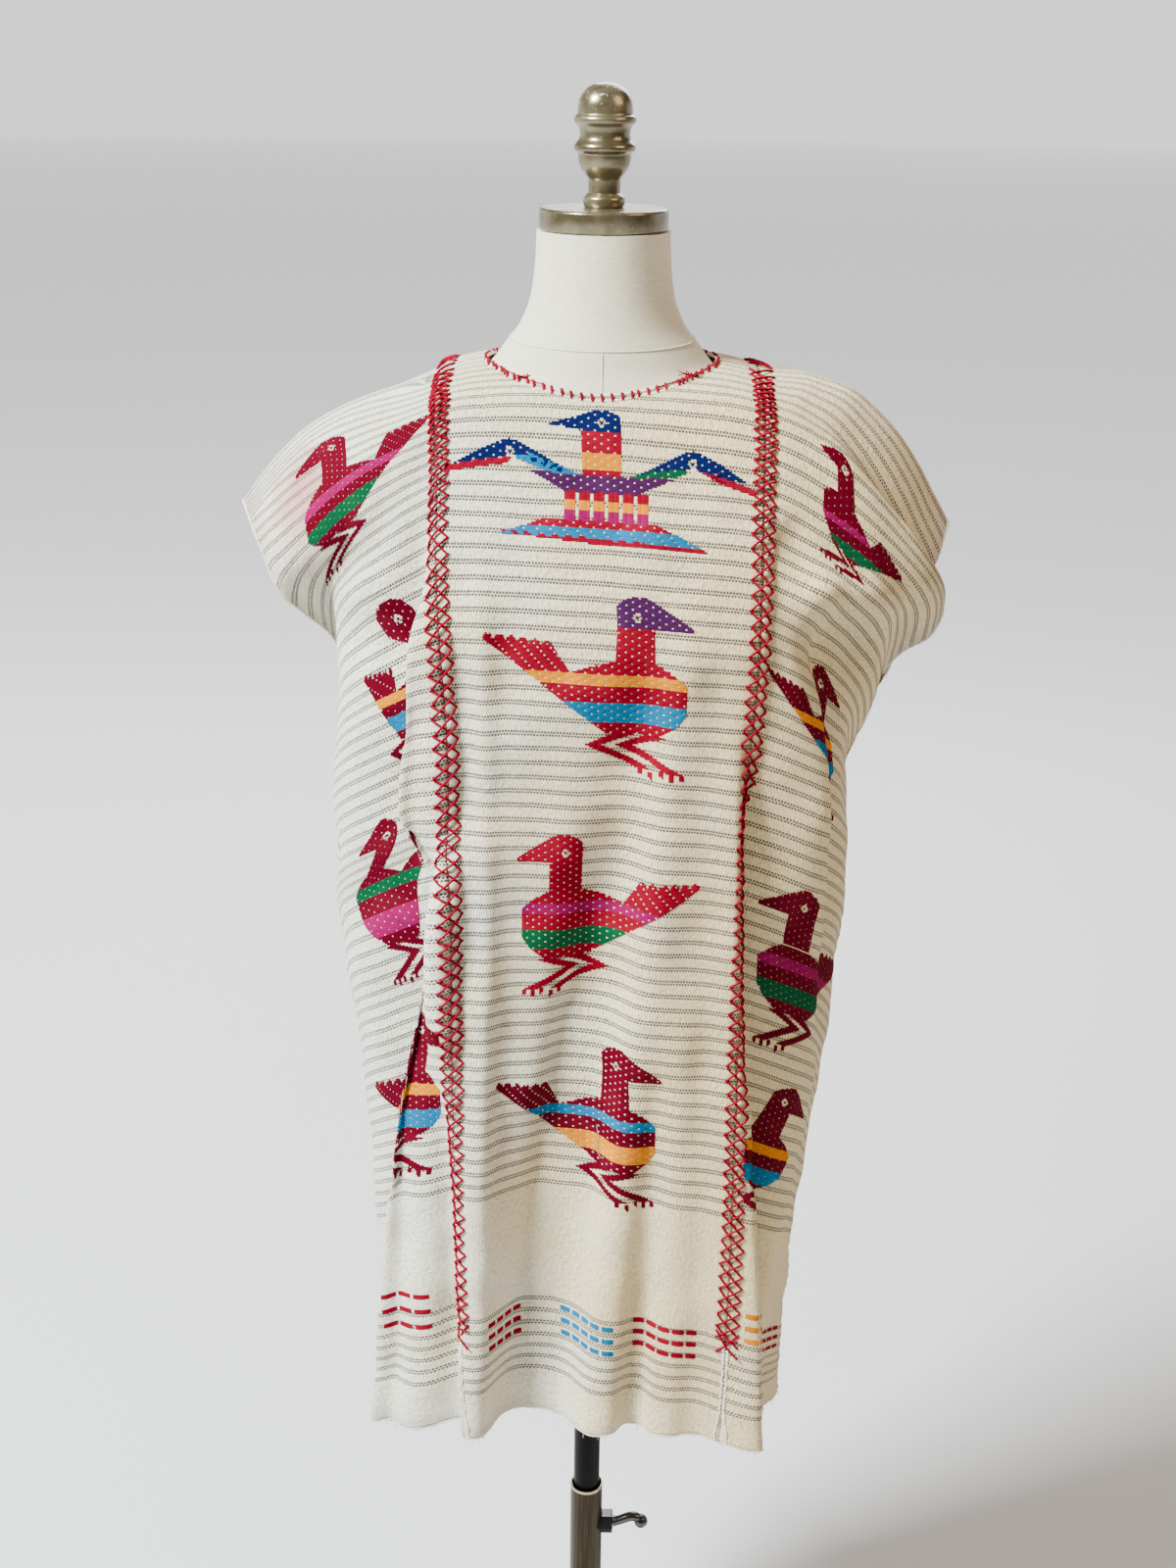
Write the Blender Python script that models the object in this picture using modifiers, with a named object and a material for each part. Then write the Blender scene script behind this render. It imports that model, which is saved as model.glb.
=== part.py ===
"""Huipil blouse of three loom-woven panels, worn on a limbless dress form with a telescoping stand.

Metres, +Z up, -Y is the front. The origin is the middle of the underside of the stand's base.

Each cloth panel is one strip folded over the shoulders. Its wall follows a surface worked out level by
level: a level's plan curve runs round the form from one side edge to the other, and folds push that
curve out, in and along. The distance s along the curve is measured on the cloth from the centre line,
and t is measured down the cloth from the shoulder fold.
"""
import math

import bmesh
import bpy
import numpy as np
from mathutils import Matrix

# ---------------------------------------------------------------- driving dimensions
CLOTH = 0.0016                # thickness of the woven wall
SEAM = 0.0006                 # gap between two panels' edges
HALF_CENTRE = 0.126           # half the centre panel's width
SIDE_WIDTH = 0.202            # width of each side panel
LENGTH = 0.995                # shoulder fold to hem along the cloth
ARMHOLE = 0.19                # shoulder fold to the top of the side seam
RIDGE_Z = 1.463               # height of the shoulder fold at the centre line
NECK_HALF = 0.092             # half the neck hole's width
NECK_FRONT = 0.074            # how far forward the neck hole reaches
NECK_BACK = 0.062             # how far back it reaches
NECK_CUT = 0.06               # height of the body that cuts the neck hole
NECK_SIDES = 40
RIDGE_RUN = 0.12              # how far down the cloth the shoulder line still shapes it
SIDE_BOW = 0.45               # how much of a side panel's drop comes late, near its outer edge
CENTRE_COLUMNS = 18
SIDE_COLUMNS = 18
CURVE_STEPS = 400             # even samples on each half of a level's plan curve
LEVELS = (0, .02, .045, .075, .11, .15, .19, .24, .30, .37, .44, .51, .58, .65, .72, .79, .86, .93, LENGTH)

CAP_RADIUS = 0.0508
CAP_THICK = 0.017
CAP_TOP = 1.577
CAP_EDGE = 0.0022             # how far the rounded upper rim reaches down and in
CAP_TURN = 0.0007             # how far the middle of that rim is from the two faces
CAP_FOOT = 0.001              # chamfer round the cap's underside
CAP_SIDES = 40
FINIAL_SIDES = 24
POLE_RADIUS = 0.0127
POLE_BOTTOM = 0.20
POLE_TOP = 0.90
POLE_EDGE = 0.001             # chamfer at both ends of the pole
POLE_SIDES = 32
TUBE_RADIUS = 0.015875
TUBE_WALL = 0.0015
TUBE_TOP = 0.36
TUBE_LIP = 0.0004             # chamfer inside the tube's mouth
TUBE_EDGE = 0.0005            # chamfer outside it
BASE_RADIUS = 0.17
BASE_THICK = 0.012
HUB_RADIUS = 0.028
HUB_TOP = 0.034
BASE_SIDES = 48
CLAMP_Z = 0.312
BOSS_RADIUS = 0.0115
BOSS_OUT = 0.0265             # how far the boss's end is from the pole's axis
BOSS_SEAT = 0.004             # how far the boss reaches round the tube
BOSS_EDGE = 0.0014            # rounding of the boss's outer edge
SCREW_RADIUS = 0.0036
SCREW_TIP_GAP = 0.001         # from the screw's tip to the pole
SCREW_ROOT = 0.004            # how far the screw runs on inside the lever's arm
LEVER_RADIUS = 0.0047
BALL_RADIUS = 0.0069
GAP = 0.0003
TURN_GAP = 0.0005             # clearance round a piece that turns or slides
ALONG_X = (0, math.pi / 2, 0)  # turns a body made along Z to lie along X

# ---------------------------------------------------------------- the cloth's tables
# Middle of the front and of the back; sag is how much of the side's drop reaches the seams.
MID = ('t', 'y', 'z', 'sag')
FRONT = (
    (0.000, 0.000, 1.463, 0.00),
    (0.030, -.028, 1.460, 0.02),
    (0.060, -.053, 1.453, 0.02),
    (0.088, -.074, 1.443, 0.02),
    (0.150, -.098, 1.387, 0.02),
    (0.220, -.122, 1.321, 0.03),
    (0.300, -.140, 1.243, 0.03),
    (0.400, -.143, 1.143, 0.04),
    (0.600, -.145, 0.943, 0.05),
    (0.800, -.150, 0.743, 0.08),
    (0.995, -.156, 0.549, 0.12))
BACK = (
    (0.000, 0.000, 1.463, 0.00),
    (0.030, 0.030, 1.463, 0.02),
    (0.060, 0.058, 1.458, 0.02),
    (0.088, 0.078, 1.441, 0.02),
    (0.150, 0.099, 1.384, 0.02),
    (0.220, 0.108, 1.315, 0.03),
    (0.300, 0.112, 1.236, 0.04),
    (0.400, 0.115, 1.136, 0.05),
    (0.600, 0.121, 0.936, 0.06),
    (0.800, 0.125, 0.736, 0.08),
    (0.995, 0.129, 0.541, 0.10))
# Side edges: x is how far out, gap half the armhole's opening, and front and back say how square the
# plan curve is on its way round to the side.
SIDE = ('t', 'x', 'y', 'gap', 'z', 'front', 'back')
LEFT = (
    (0.000, .292, 0.000, .000, 1.342, 4.0, 4.0),
    (0.050, .275, 0.000, .034, 1.316, 4.0, 4.0),
    (0.100, .258, 0.000, .044, 1.275, 3.8, 4.0),
    (0.140, .240, -.002, .030, 1.256, 3.5, 3.6),
    (0.190, .217, -.006, .000, 1.218, 3.0, 3.0),
    (0.240, .215, -.008, .000, 1.172, 2.8, 2.8),
    (0.340, .222, -.010, .000, 1.078, 2.5, 2.5),
    (0.440, .222, -.012, .000, 0.980, 2.4, 2.4),
    (0.540, .210, -.015, .000, 0.882, 2.4, 2.4),
    (0.640, .200, -.018, .000, 0.785, 2.4, 2.4),
    (0.760, .196, -.020, .000, 0.670, 2.4, 2.4),
    (0.880, .194, -.020, .000, 0.560, 2.4, 2.4),
    (0.995, .198, -.020, .000, 0.462, 2.4, 2.4))
RIGHT = (
    (0.000, .286, 0.000, .000, 1.331, 4.0, 4.0),
    (0.040, .272, 0.000, .028, 1.303, 4.0, 4.0),
    (0.070, .258, 0.000, .036, 1.284, 3.8, 4.0),
    (0.100, .281, 0.000, .030, 1.264, 3.6, 4.0),
    (0.135, .274, 0.000, .020, 1.240, 3.5, 3.6),
    (0.165, .254, 0.000, .008, 1.222, 3.3, 3.3),
    (0.190, .242, 0.000, .000, 1.200, 3.2, 3.2),
    (0.235, .228, 0.000, .000, 1.162, 3.0, 3.0),
    (0.300, .211, 0.005, .000, 1.100, 2.8, 2.8),
    (0.340, .213, 0.005, .000, 1.064, 2.7, 2.6),
    (0.400, .218, 0.005, .000, 1.010, 2.6, 2.5),
    (0.480, .214, 0.005, .000, 0.930, 2.5, 2.4),
    (0.580, .206, 0.005, .000, 0.830, 2.8, 2.4),
    (0.700, .193, 0.000, .000, 0.710, 3.4, 2.4),
    (0.800, .186, 0.000, .000, 0.618, 4.0, 2.4),
    (0.900, .183, 0.000, .000, 0.542, 4.6, 2.4),
    (0.995, .182, 0.000, .000, 0.478, 5.0, 2.4))
# Shoulder line from the panel seam out to the sleeve's tip; p is the share of the side panel's width.
SHOULDER = ('p', 'x', 'z')
SHOULDER_LEFT = (
    (0.00, .126, 1.452),
    (0.05, .133, 1.448),
    (0.20, .161, 1.438),
    (0.35, .190, 1.428),
    (0.50, .218, 1.415),
    (0.62, .241, 1.400),
    (0.81, .269, 1.372),
    (1.00, .292, 1.342))
SHOULDER_RIGHT = (
    (0.00, .126, 1.453),
    (0.07, .143, 1.452),
    (0.16, .161, 1.451),
    (0.24, .178, 1.447),
    (0.34, .199, 1.440),
    (0.47, .220, 1.424),
    (0.59, .239, 1.405),
    (0.74, .258, 1.379),
    (0.87, .272, 1.355),
    (1.00, .286, 1.331))
# Folds that lie over to one side, a row each. face and to: -1 is the front and the left, 1 the back and
# the right. s is the crest's place where the fold starts and at its last level.
OVER = ('face', 'to', 'start', 'end', 'rise', 'fall', 's0', 's1', 'deep0', 'deep1', 'width', 'lean')
OVER_FOLDS = (
    (-1, -1, .20, 0.61, .12, .12, -.112, -.162, .018, .018, .018, 1.20),
    (-1, -1, .47, 1.20, .24, .10, -.114, -.172, .018, .022, .021, 1.25),
    (-1, 1, .14, 0.66, .30, .30, 0.150, 0.195, .012, .012, .022, 0.90),
    (-1, 1, .40, 1.20, .50, .10, 0.104, 0.126, .010, .026, .018, 1.25),
    (1, -1, .24, 1.20, .40, .10, -.100, -.150, .020, .026, .024, 1.05),
    (1, 1, .20, 1.20, .40, .10, 0.130, 0.120, .026, .036, .024, 1.10))
# Soft ridges, and troughs where deep is below 0.
SOFT = ('face', 'start', 'end', 'rise', 'fall', 's0', 's1', 'deep0', 'deep1', 'width')
SOFT_FOLDS = (
    (-1, .30, 1.20, .40, .10, -.098, -.098, 0.004, 0.014, .018),
    (-1, .50, 1.20, .40, .10, -.055, -.045, -.002, -.010, .016),
    (-1, .30, 1.20, .40, .10, 0.030, 0.010, 0.004, 0.008, .022),
    (-1, .55, 1.20, .40, .10, 0.060, 0.055, -.002, -.007, .014),
    (-1, .52, 1.20, .50, .10, 0.215, 0.205, -.004, -.036, .032),
    (1, .22, 1.20, .30, .10, -.060, -.050, 0.008, 0.012, .022),
    (1, .26, 1.20, .30, .10, 0.050, 0.060, 0.008, 0.012, .022))

# ---------------------------------------------------------------- the form's tables
# Torso from the neck down: half width, and how far it reaches to the front and to the back.
TORSO = (
    (1.5597, .0525, .0525, .0525),
    (1.5450, .0530, .0530, .0525),
    (1.5305, .0540, .0535, .0525),
    (1.5150, .0560, .0545, .0530),
    (1.5030, .0590, .0555, .0535),
    (1.4875, .0660, .0575, .0545),
    (1.4720, .0780, .0605, .0555),
    (1.4610, .0860, .0620, .0560),
    (1.4530, .0950, .0640, .0570),
    (1.4400, .1230, .0690, .0600),
    (1.4250, .1500, .0720, .0660),
    (1.4000, .1760, .0800, .0760),
    (1.3600, .1880, .0900, .0860),
    (1.3000, .1800, .1050, .0940),
    (1.2200, .1600, .1260, .0920),
    (1.1300, .1380, .1080, .0880),
    (1.0400, .1200, .0920, .0800),
    (0.9500, .1400, .0980, .0880),
    (0.8700, .1540, .1040, .0940),
    (0.8200, .1520, .1020, .0920),
    (0.8000, .1460, .0970, .0870))
TORSO_SIDES = 32
# Finial: height above the cap, and radius.
FINIAL = (
    (.0920, .0000),
    (.0912, .0070),
    (.0885, .0130),
    (.0840, .0178),
    (.0780, .0206),
    (.0720, .0214),
    (.0690, .0216),
    (.0672, .0234),
    (.0650, .0241),
    (.0628, .0234),
    (.0600, .0208),
    (.0570, .0197),
    (.0540, .0195),
    (.0505, .0204),
    (.0470, .0232),
    (.0445, .0240),
    (.0422, .0232),
    (.0400, .0208),
    (.0360, .0204),
    (.0310, .0192),
    (.0265, .0168),
    (.0228, .0138),
    (.0210, .0128),
    (.0205, .0126),
    (.0110, .0126),
    (.0090, .0148),
    (.0070, .0162),
    (.0045, .0164),
    (.0020, .0160),
    (.0003, .0152),
    (.0003, .0000))
# Clamp lever: distance out from the pole's axis, and height above the screw.
LEVER = (
    (.0272, .0000),
    (.0296, .0001),
    (.0340, .0016),
    (.0390, .0038),
    (.0440, .0056),
    (.0480, .0058),
    (.0515, .0044))
BALL_AT = (.0548, .0004)
# Base and hub, down the outer side from the hub's bore and back up inside: height, and radius.
TUBE_BORE = TUBE_RADIUS + GAP
BASE = (
    (HUB_TOP, TUBE_BORE),
    (HUB_TOP, HUB_RADIUS - .0035),
    (HUB_TOP - .0015, HUB_RADIUS - .0010),
    (HUB_TOP - .0050, HUB_RADIUS),
    (BASE_THICK + .0040, HUB_RADIUS + .0015),
    (BASE_THICK + .0010, HUB_RADIUS + .0060),
    (BASE_THICK - .0005, HUB_RADIUS + .0160),
    (BASE_THICK - .0020, BASE_RADIUS - .0120),
    (BASE_THICK - .0045, BASE_RADIUS - .0035),
    (BASE_THICK - .0080, BASE_RADIUS),
    (.0008, BASE_RADIUS),
    (.0000, BASE_RADIUS - .0008),
    (.0000, .0000),
    (BASE_THICK, .0000),
    (BASE_THICK, TUBE_BORE),
    (HUB_TOP, TUBE_BORE))


# ---------------------------------------------------------------- cloth surface
def smooth(x):
    """Ease from 0 to 1."""
    x = np.clip(x, 0, 1)
    return x * x * (3 - 2 * x)


def column(rows, names, name, at):
    """A table's column read at any place by a curve that never overshoots its rows."""
    place = np.array([row[0] for row in rows])
    value = np.array([row[names.index(name)] for row in rows])
    slope = np.diff(value) / np.diff(place)
    tangent = np.concatenate([slope[:1], np.zeros(len(rows) - 2), slope[-1:]])
    same = slope[:-1] * slope[1:] > 0
    both = np.where(same, slope[:-1] + slope[1:], 1)
    tangent[1:-1] = np.where(same, 2 * slope[:-1] * slope[1:] / both, 0)
    at = np.clip(at, place[0], place[-1])
    i = np.clip(np.searchsorted(place, at) - 1, 0, len(rows) - 2)
    step = place[i + 1] - place[i]
    u = (at - place[i]) / step
    start = (1 + 2 * u) * (1 - u) ** 2 * value[i] + u * (1 - u) ** 2 * step * tangent[i]
    end = u * u * (3 - 2 * u) * value[i + 1] + u * u * (u - 1) * step * tangent[i + 1]
    return start + end


def fade(fold, t):
    """How strongly a fold shows at the level t, and how far down its run that level is."""
    strength = smooth((t - fold['start']) / fold['rise']) * smooth((fold['end'] - t) / fold['fall'])
    run = np.clip((t - fold['start']) / (min(fold['end'], LENGTH) - fold['start']), 0, 1)
    return strength, run


def fold_shift(face, t, s):
    """How far the folds move the cloth out and along at the level t."""
    out = np.zeros(len(s))
    along = np.zeros(len(s))
    for row in OVER_FOLDS:
        fold = dict(zip(OVER, row))
        strength, run = fade(fold, t)
        if fold['face'] != face or strength <= 0:
            continue
        crest = fold['s0'] + (fold['s1'] - fold['s0']) * run
        u = fold['to'] * (s - crest) / fold['width'] - 1
        wave = -u * np.exp(0.5 - u * u / 2)
        out += strength * (fold['deep0'] + (fold['deep1'] - fold['deep0']) * run) * wave
        along += strength * fold['to'] * fold['lean'] * fold['width'] * wave
    for row in SOFT_FOLDS:
        fold = dict(zip(SOFT, row))
        strength, run = fade(fold, t)
        if fold['face'] != face or strength <= 0:
            continue
        u = (s - fold['s0'] - (fold['s1'] - fold['s0']) * run) / fold['width']
        out += strength * (fold['deep0'] + (fold['deep1'] - fold['deep0']) * run) * np.exp(-u * u / 2)
    return out, along


def arc_length(x, y):
    """Distance along a plan curve from its first point."""
    return np.concatenate([[0], np.cumsum(np.hypot(np.diff(x), np.diff(y)))])


def plan_curve(face, t):
    """Folded plan curve of one face at the level t, left to right: x, y and the distance s."""
    depth = column(FRONT if face < 0 else BACK, MID, 'y', t)
    turn = np.linspace(0, math.pi / 2, CURVE_STEPS)
    halves = []
    for side, rows in ((-1, LEFT), (1, RIGHT)):
        out = column(rows, SIDE, 'x', t)
        edge = column(rows, SIDE, 'y', t) + face * column(rows, SIDE, 'gap', t)
        power = 2 / column(rows, SIDE, 'front' if face < 0 else 'back', t)
        halves.append((side * out * np.sin(turn) ** power, edge + (depth - edge) * np.cos(turn) ** power))
    x = np.concatenate([halves[0][0][:0:-1], halves[1][0]])
    y = np.concatenate([halves[0][1][:0:-1], halves[1][1]])
    s = arc_length(x, y)
    s -= s[CURVE_STEPS - 1]
    even = np.linspace(s[0], s[-1], 2 * CURVE_STEPS)
    x = np.interp(even, s, x)
    y = np.interp(even, s, y)
    along_x = np.gradient(x, even)
    along_y = np.gradient(y, even)
    size = np.hypot(along_x, along_y) + 1e-12
    out, along = fold_shift(face, t, even)
    folded_x = x + (along * along_x - face * out * along_y) / size
    folded_y = y + (along * along_y + face * out * along_x) / size
    folded_s = arc_length(folded_x, folded_y)
    return folded_x, folded_y, folded_s - np.interp(0, even, folded_s)


def cloth_level(face, t, s):
    """Points of one face of the cloth at the level t, at the distances s from the centre line."""
    x, y, arc = plan_curve(face, t)
    s = np.asarray(s, float)
    side = np.where(s < 0, -1, 1)
    away = np.abs(s)
    p = np.clip((away - HALF_CENTRE) / SIDE_WIDTH, 0, 1)
    inner = np.minimum(away / HALF_CENTRE, 1)
    room = np.where(s < 0, -arc[0], arc[-1])
    place = side * np.where(away <= HALF_CENTRE, away, HALF_CENTRE + (room - HALF_CENTRE) * p)
    px = np.interp(place, arc, x)
    py = np.interp(place, arc, y)
    pz = np.zeros(len(s))
    middle = FRONT if face < 0 else BACK
    mid_z = column(middle, MID, 'z', t)
    sag = column(middle, MID, 'sag', t)
    lower = smooth(t / ARMHOLE)
    ridge = (1 - lower) * (1 - smooth(t / RIDGE_RUN))
    for sign, rows, line in ((-1, LEFT, SHOULDER_LEFT), (1, RIGHT, SHOULDER_RIGHT)):
        drop = mid_z - column(rows, SIDE, 'z', t)
        tip_x, tip_z = line[-1][1:]
        reach = (column(rows, SIDE, 'x', t) - HALF_CENTRE) / (tip_x - HALF_CENTRE)
        side_x = HALF_CENTRE + (column(line, SHOULDER, 'x', p) - HALF_CENTRE) * reach
        centre_z = RIDGE_Z - (RIDGE_Z - line[0][2]) * inner ** 5
        line_x = np.where(p > 0, side_x, away)
        line_z = np.where(p > 0, column(line, SHOULDER, 'z', p), centre_z)
        top = mid_z - drop * (RIDGE_Z - line_z) / (RIDGE_Z - tip_z)
        low = mid_z - drop * (sag * inner ** 2 + (1 - sag) * ((1 - SIDE_BOW) * p + SIDE_BOW * p * p))
        px = np.where(side == sign, px + (sign * line_x - px) * ridge, px)
        pz = np.where(side == sign, top * (1 - lower) + low * lower, pz)
    return np.stack([px, py, pz], -1)


# ---------------------------------------------------------------- building helpers
def clear_scene():
    """Remove whatever the scene holds."""
    for item in list(bpy.data.objects):
        bpy.data.objects.remove(item)


def make_collection(name):
    """A new collection in the scene."""
    collection = bpy.data.collections.new(name)
    bpy.context.scene.collection.children.link(collection)
    return collection


def make_material(name, colour, roughness, metallic=0.0):
    """A Principled material."""
    material = bpy.data.materials.new(name)
    material.use_nodes = True
    shader = material.node_tree.nodes['Principled BSDF']
    shader.inputs['Base Color'].default_value = (*colour, 1)
    shader.inputs['Roughness'].default_value = roughness
    shader.inputs['Metallic'].default_value = metallic
    material.diffuse_color = (*colour, 1)
    return material


def place(item, parent, at):
    """Hang an object on an unturned parent with its origin at a world point."""
    item.parent = parent
    item.location = at
    while parent:
        item.location -= parent.location
        parent = parent.parent


def add_object(name, data, collection, material=None, parent=None, at=(0, 0, 0)):
    """Link a new object that is smooth but for its sharp edges, its origin at a world point."""
    item = bpy.data.objects.new(name, data)
    collection.objects.link(item)
    place(item, parent, at)
    if isinstance(data, bpy.types.Mesh):
        data.shade_smooth()
        data.set_sharp_from_angle(angle=math.radians(40))
    if material:
        data.materials.append(material)
    return item


def mesh_from_bmesh(name, bm):
    """Turn a bmesh into mesh data and free it."""
    bmesh.ops.recalc_face_normals(bm, faces=bm.faces)
    mesh = bpy.data.meshes.new(name)
    bm.to_mesh(mesh)
    bm.free()
    return mesh


def panel_mesh(name, distances):
    """Open surface of one panel: a grid from the back hem, over the shoulder, to the front hem."""
    rows = [(1, t) for t in reversed(LEVELS[1:])] + [(-1, t) for t in LEVELS]
    bm = bmesh.new()
    grid = [[bm.verts.new(point) for point in cloth_level(face, t, distances)] for face, t in rows]
    for upper, lower in zip(grid, grid[1:]):
        for i in range(len(distances) - 1):
            bm.faces.new((upper[i], upper[i + 1], lower[i + 1], lower[i]))
    mesh = bpy.data.meshes.new(name)
    bm.to_mesh(mesh)
    bm.free()
    return mesh


def turned_mesh(name, profile):
    """Mesh of a profile of (height, radius) points at +X, for a Screw modifier."""
    bm = bmesh.new()
    points = [bm.verts.new((radius, 0, height)) for height, radius in profile]
    for upper, lower in zip(points, points[1:]):
        bm.edges.new((upper, lower))
    mesh = bpy.data.meshes.new(name)
    bm.to_mesh(mesh)
    bm.free()
    return mesh


def add_turned(name, profile, sides, collection, material, parent=None, at=(0, 0, 0)):
    """A turned piece: its profile runs down the outer side and is swept round Z."""
    item = add_object(name, turned_mesh(name, profile), collection, material, parent, at)
    screw = item.modifiers.new('Turn', 'SCREW')
    screw.steps = sides
    screw.render_steps = sides
    screw.use_merge_vertices = True
    screw.merge_threshold = 0.00005
    screw.use_smooth_shade = True
    screw.use_normal_calculate = True
    return item


def add_cutter(name, bm, collection, parent=None, at=(0, 0, 0), turn=(0, 0, 0)):
    """A hidden body that cuts another one or is joined to it."""
    cutter = add_object(name, mesh_from_bmesh(name, bm), collection, parent=parent, at=at)
    cutter.rotation_euler = turn
    cutter.hide_render = True
    cutter.display_type = 'WIRE'
    return cutter


def cut(item, cutter):
    """Cut one body out of another."""
    boolean = item.modifiers.new('Cut', 'BOOLEAN')
    boolean.operation = 'DIFFERENCE'
    boolean.solver = 'EXACT'
    boolean.object = cutter


def join(item, other):
    """Make two bodies one."""
    boolean = item.modifiers.new('Join', 'BOOLEAN')
    boolean.operation = 'UNION'
    boolean.solver = 'EXACT'
    boolean.object = other


def round_bar(radius, depth, sides):
    """A closed cylinder along Z, about its middle."""
    bm = bmesh.new()
    bmesh.ops.create_cone(bm, cap_ends=True, segments=sides, radius1=radius, radius2=radius, depth=depth)
    return bm


# ---------------------------------------------------------------- the garment
def add_panel(name, distances, collection, material, parent):
    """One woven strip as a thin closed wall."""
    panel = add_object(name, panel_mesh(name, distances), collection, material, parent)
    wall = panel.modifiers.new('Cloth', 'SOLIDIFY')
    wall.thickness = CLOTH
    wall.offset = 0
    return panel


def neck_cutter(collection):
    """Upright prism with the neck hole's outline: a deep half ellipse in front and a shallow one behind."""
    bm = bmesh.new()
    turns = [2 * math.pi * i / NECK_SIDES for i in range(NECK_SIDES)]
    outline = [(NECK_HALF * math.cos(a), (NECK_BACK if math.sin(a) > 0 else NECK_FRONT) * math.sin(a))
               for a in turns]
    face = bm.faces.new([bm.verts.new((x, y, 0)) for x, y in outline])
    raised = bmesh.ops.extrude_face_region(bm, geom=[face])['geom']
    top = [item for item in raised if isinstance(item, bmesh.types.BMVert)]
    bmesh.ops.translate(bm, verts=top, vec=(0, 0, NECK_CUT))
    return add_cutter('neck_hole', bm, collection, at=(0, 0, RIDGE_Z - NECK_CUT / 2))


def build_garment(collection, cutters, parent):
    """Three panels, seam to seam, with the neck hole in the middle one."""
    cream = make_material('woven_cotton', (.84, .79, .69), .9)
    edge = HALF_CENTRE - SEAM / 2
    across = np.linspace(-edge, edge, CENTRE_COLUMNS + 1)
    centre = add_panel('centre_panel', across, collection, cream, parent)
    cut(centre, neck_cutter(cutters))
    outward = np.linspace(HALF_CENTRE + SEAM / 2, HALF_CENTRE + SIDE_WIDTH, SIDE_COLUMNS + 1)
    add_panel('left_panel', -outward[::-1], collection, cream, parent)
    add_panel('right_panel', outward, collection, cream, parent)


# ---------------------------------------------------------------- the dress form
def torso_ring(bm, height, half, front, back):
    """One closed section of the torso: two half ellipses, front and back."""
    turns = [2 * math.pi * i / TORSO_SIDES for i in range(TORSO_SIDES)]
    return [bm.verts.new((half * math.cos(a), (back if math.sin(a) > 0 else front) * math.sin(a), height))
            for a in turns]


def build_form(collection, cutters, parent):
    """Linen-covered torso with a socket for the pole, and the cap and finial on its neck."""
    linen = make_material('linen', (.80, .76, .67), .85)
    brass = make_material('aged_brass', (.20, .17, .11), .35, .8)
    bm = bmesh.new()
    rings = [torso_ring(bm, *row) for row in TORSO]
    for upper, lower in zip(rings, rings[1:]):
        for i in range(TORSO_SIDES):
            j = (i + 1) % TORSO_SIDES
            bm.faces.new((upper[i], upper[j], lower[j], lower[i]))
    bm.faces.new(rings[0])
    bm.faces.new(rings[-1])
    torso = add_object('form_torso', mesh_from_bmesh('form_torso', bm), collection, linen, parent)
    socket_depth = POLE_TOP + GAP - TORSO[-1][0]
    socket = round_bar(POLE_RADIUS + TURN_GAP, socket_depth * 2, 32)
    cut(torso, add_cutter('pole_socket', socket, cutters, at=(0, 0, TORSO[-1][0])))
    low = GAP - CAP_THICK
    cap = (
        (0, 0),
        (0, CAP_RADIUS - CAP_EDGE),
        (-CAP_TURN, CAP_RADIUS - CAP_TURN),
        (-CAP_EDGE, CAP_RADIUS),
        (low + CAP_FOOT, CAP_RADIUS),
        (low, CAP_RADIUS - CAP_FOOT),
        (low, 0))
    add_turned('neck_cap', cap, CAP_SIDES, collection, brass, parent, (0, 0, CAP_TOP))
    add_turned('finial', FINIAL, FINIAL_SIDES, collection, brass, parent, (0, 0, CAP_TOP))


# ---------------------------------------------------------------- the stand
def build_pole(collection, parent):
    """Inner pole that slides in the tube and carries the form."""
    dark = make_material('gunmetal', (.035, .033, .032), .35, .9)
    profile = (
        (POLE_TOP, 0),
        (POLE_TOP, POLE_RADIUS - POLE_EDGE),
        (POLE_TOP - POLE_EDGE, POLE_RADIUS),
        (POLE_BOTTOM + POLE_EDGE, POLE_RADIUS),
        (POLE_BOTTOM, POLE_RADIUS - POLE_EDGE),
        (POLE_BOTTOM, 0))
    add_turned('inner_pole', profile, POLE_SIDES, collection, dark, parent)


def build_tube(collection, cutters, material):
    """Outer tube with a side hole for the clamp screw."""
    inner = TUBE_RADIUS - TUBE_WALL
    bottom = BASE_THICK + GAP
    profile = (
        (TUBE_TOP - TUBE_LIP, inner),
        (TUBE_TOP, inner + TUBE_LIP),
        (TUBE_TOP, TUBE_RADIUS - TUBE_EDGE),
        (TUBE_TOP - TUBE_EDGE, TUBE_RADIUS),
        (bottom, TUBE_RADIUS),
        (bottom, inner),
        (TUBE_TOP - TUBE_LIP, inner))
    tube = add_turned('outer_tube', profile, POLE_SIDES, collection, material)
    hole = round_bar(SCREW_RADIUS + TURN_GAP, 0.02, 16)
    cut(tube, add_cutter('screw_hole', hole, cutters, at=(TUBE_RADIUS, 0, CLAMP_Z), turn=ALONG_X))


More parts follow.
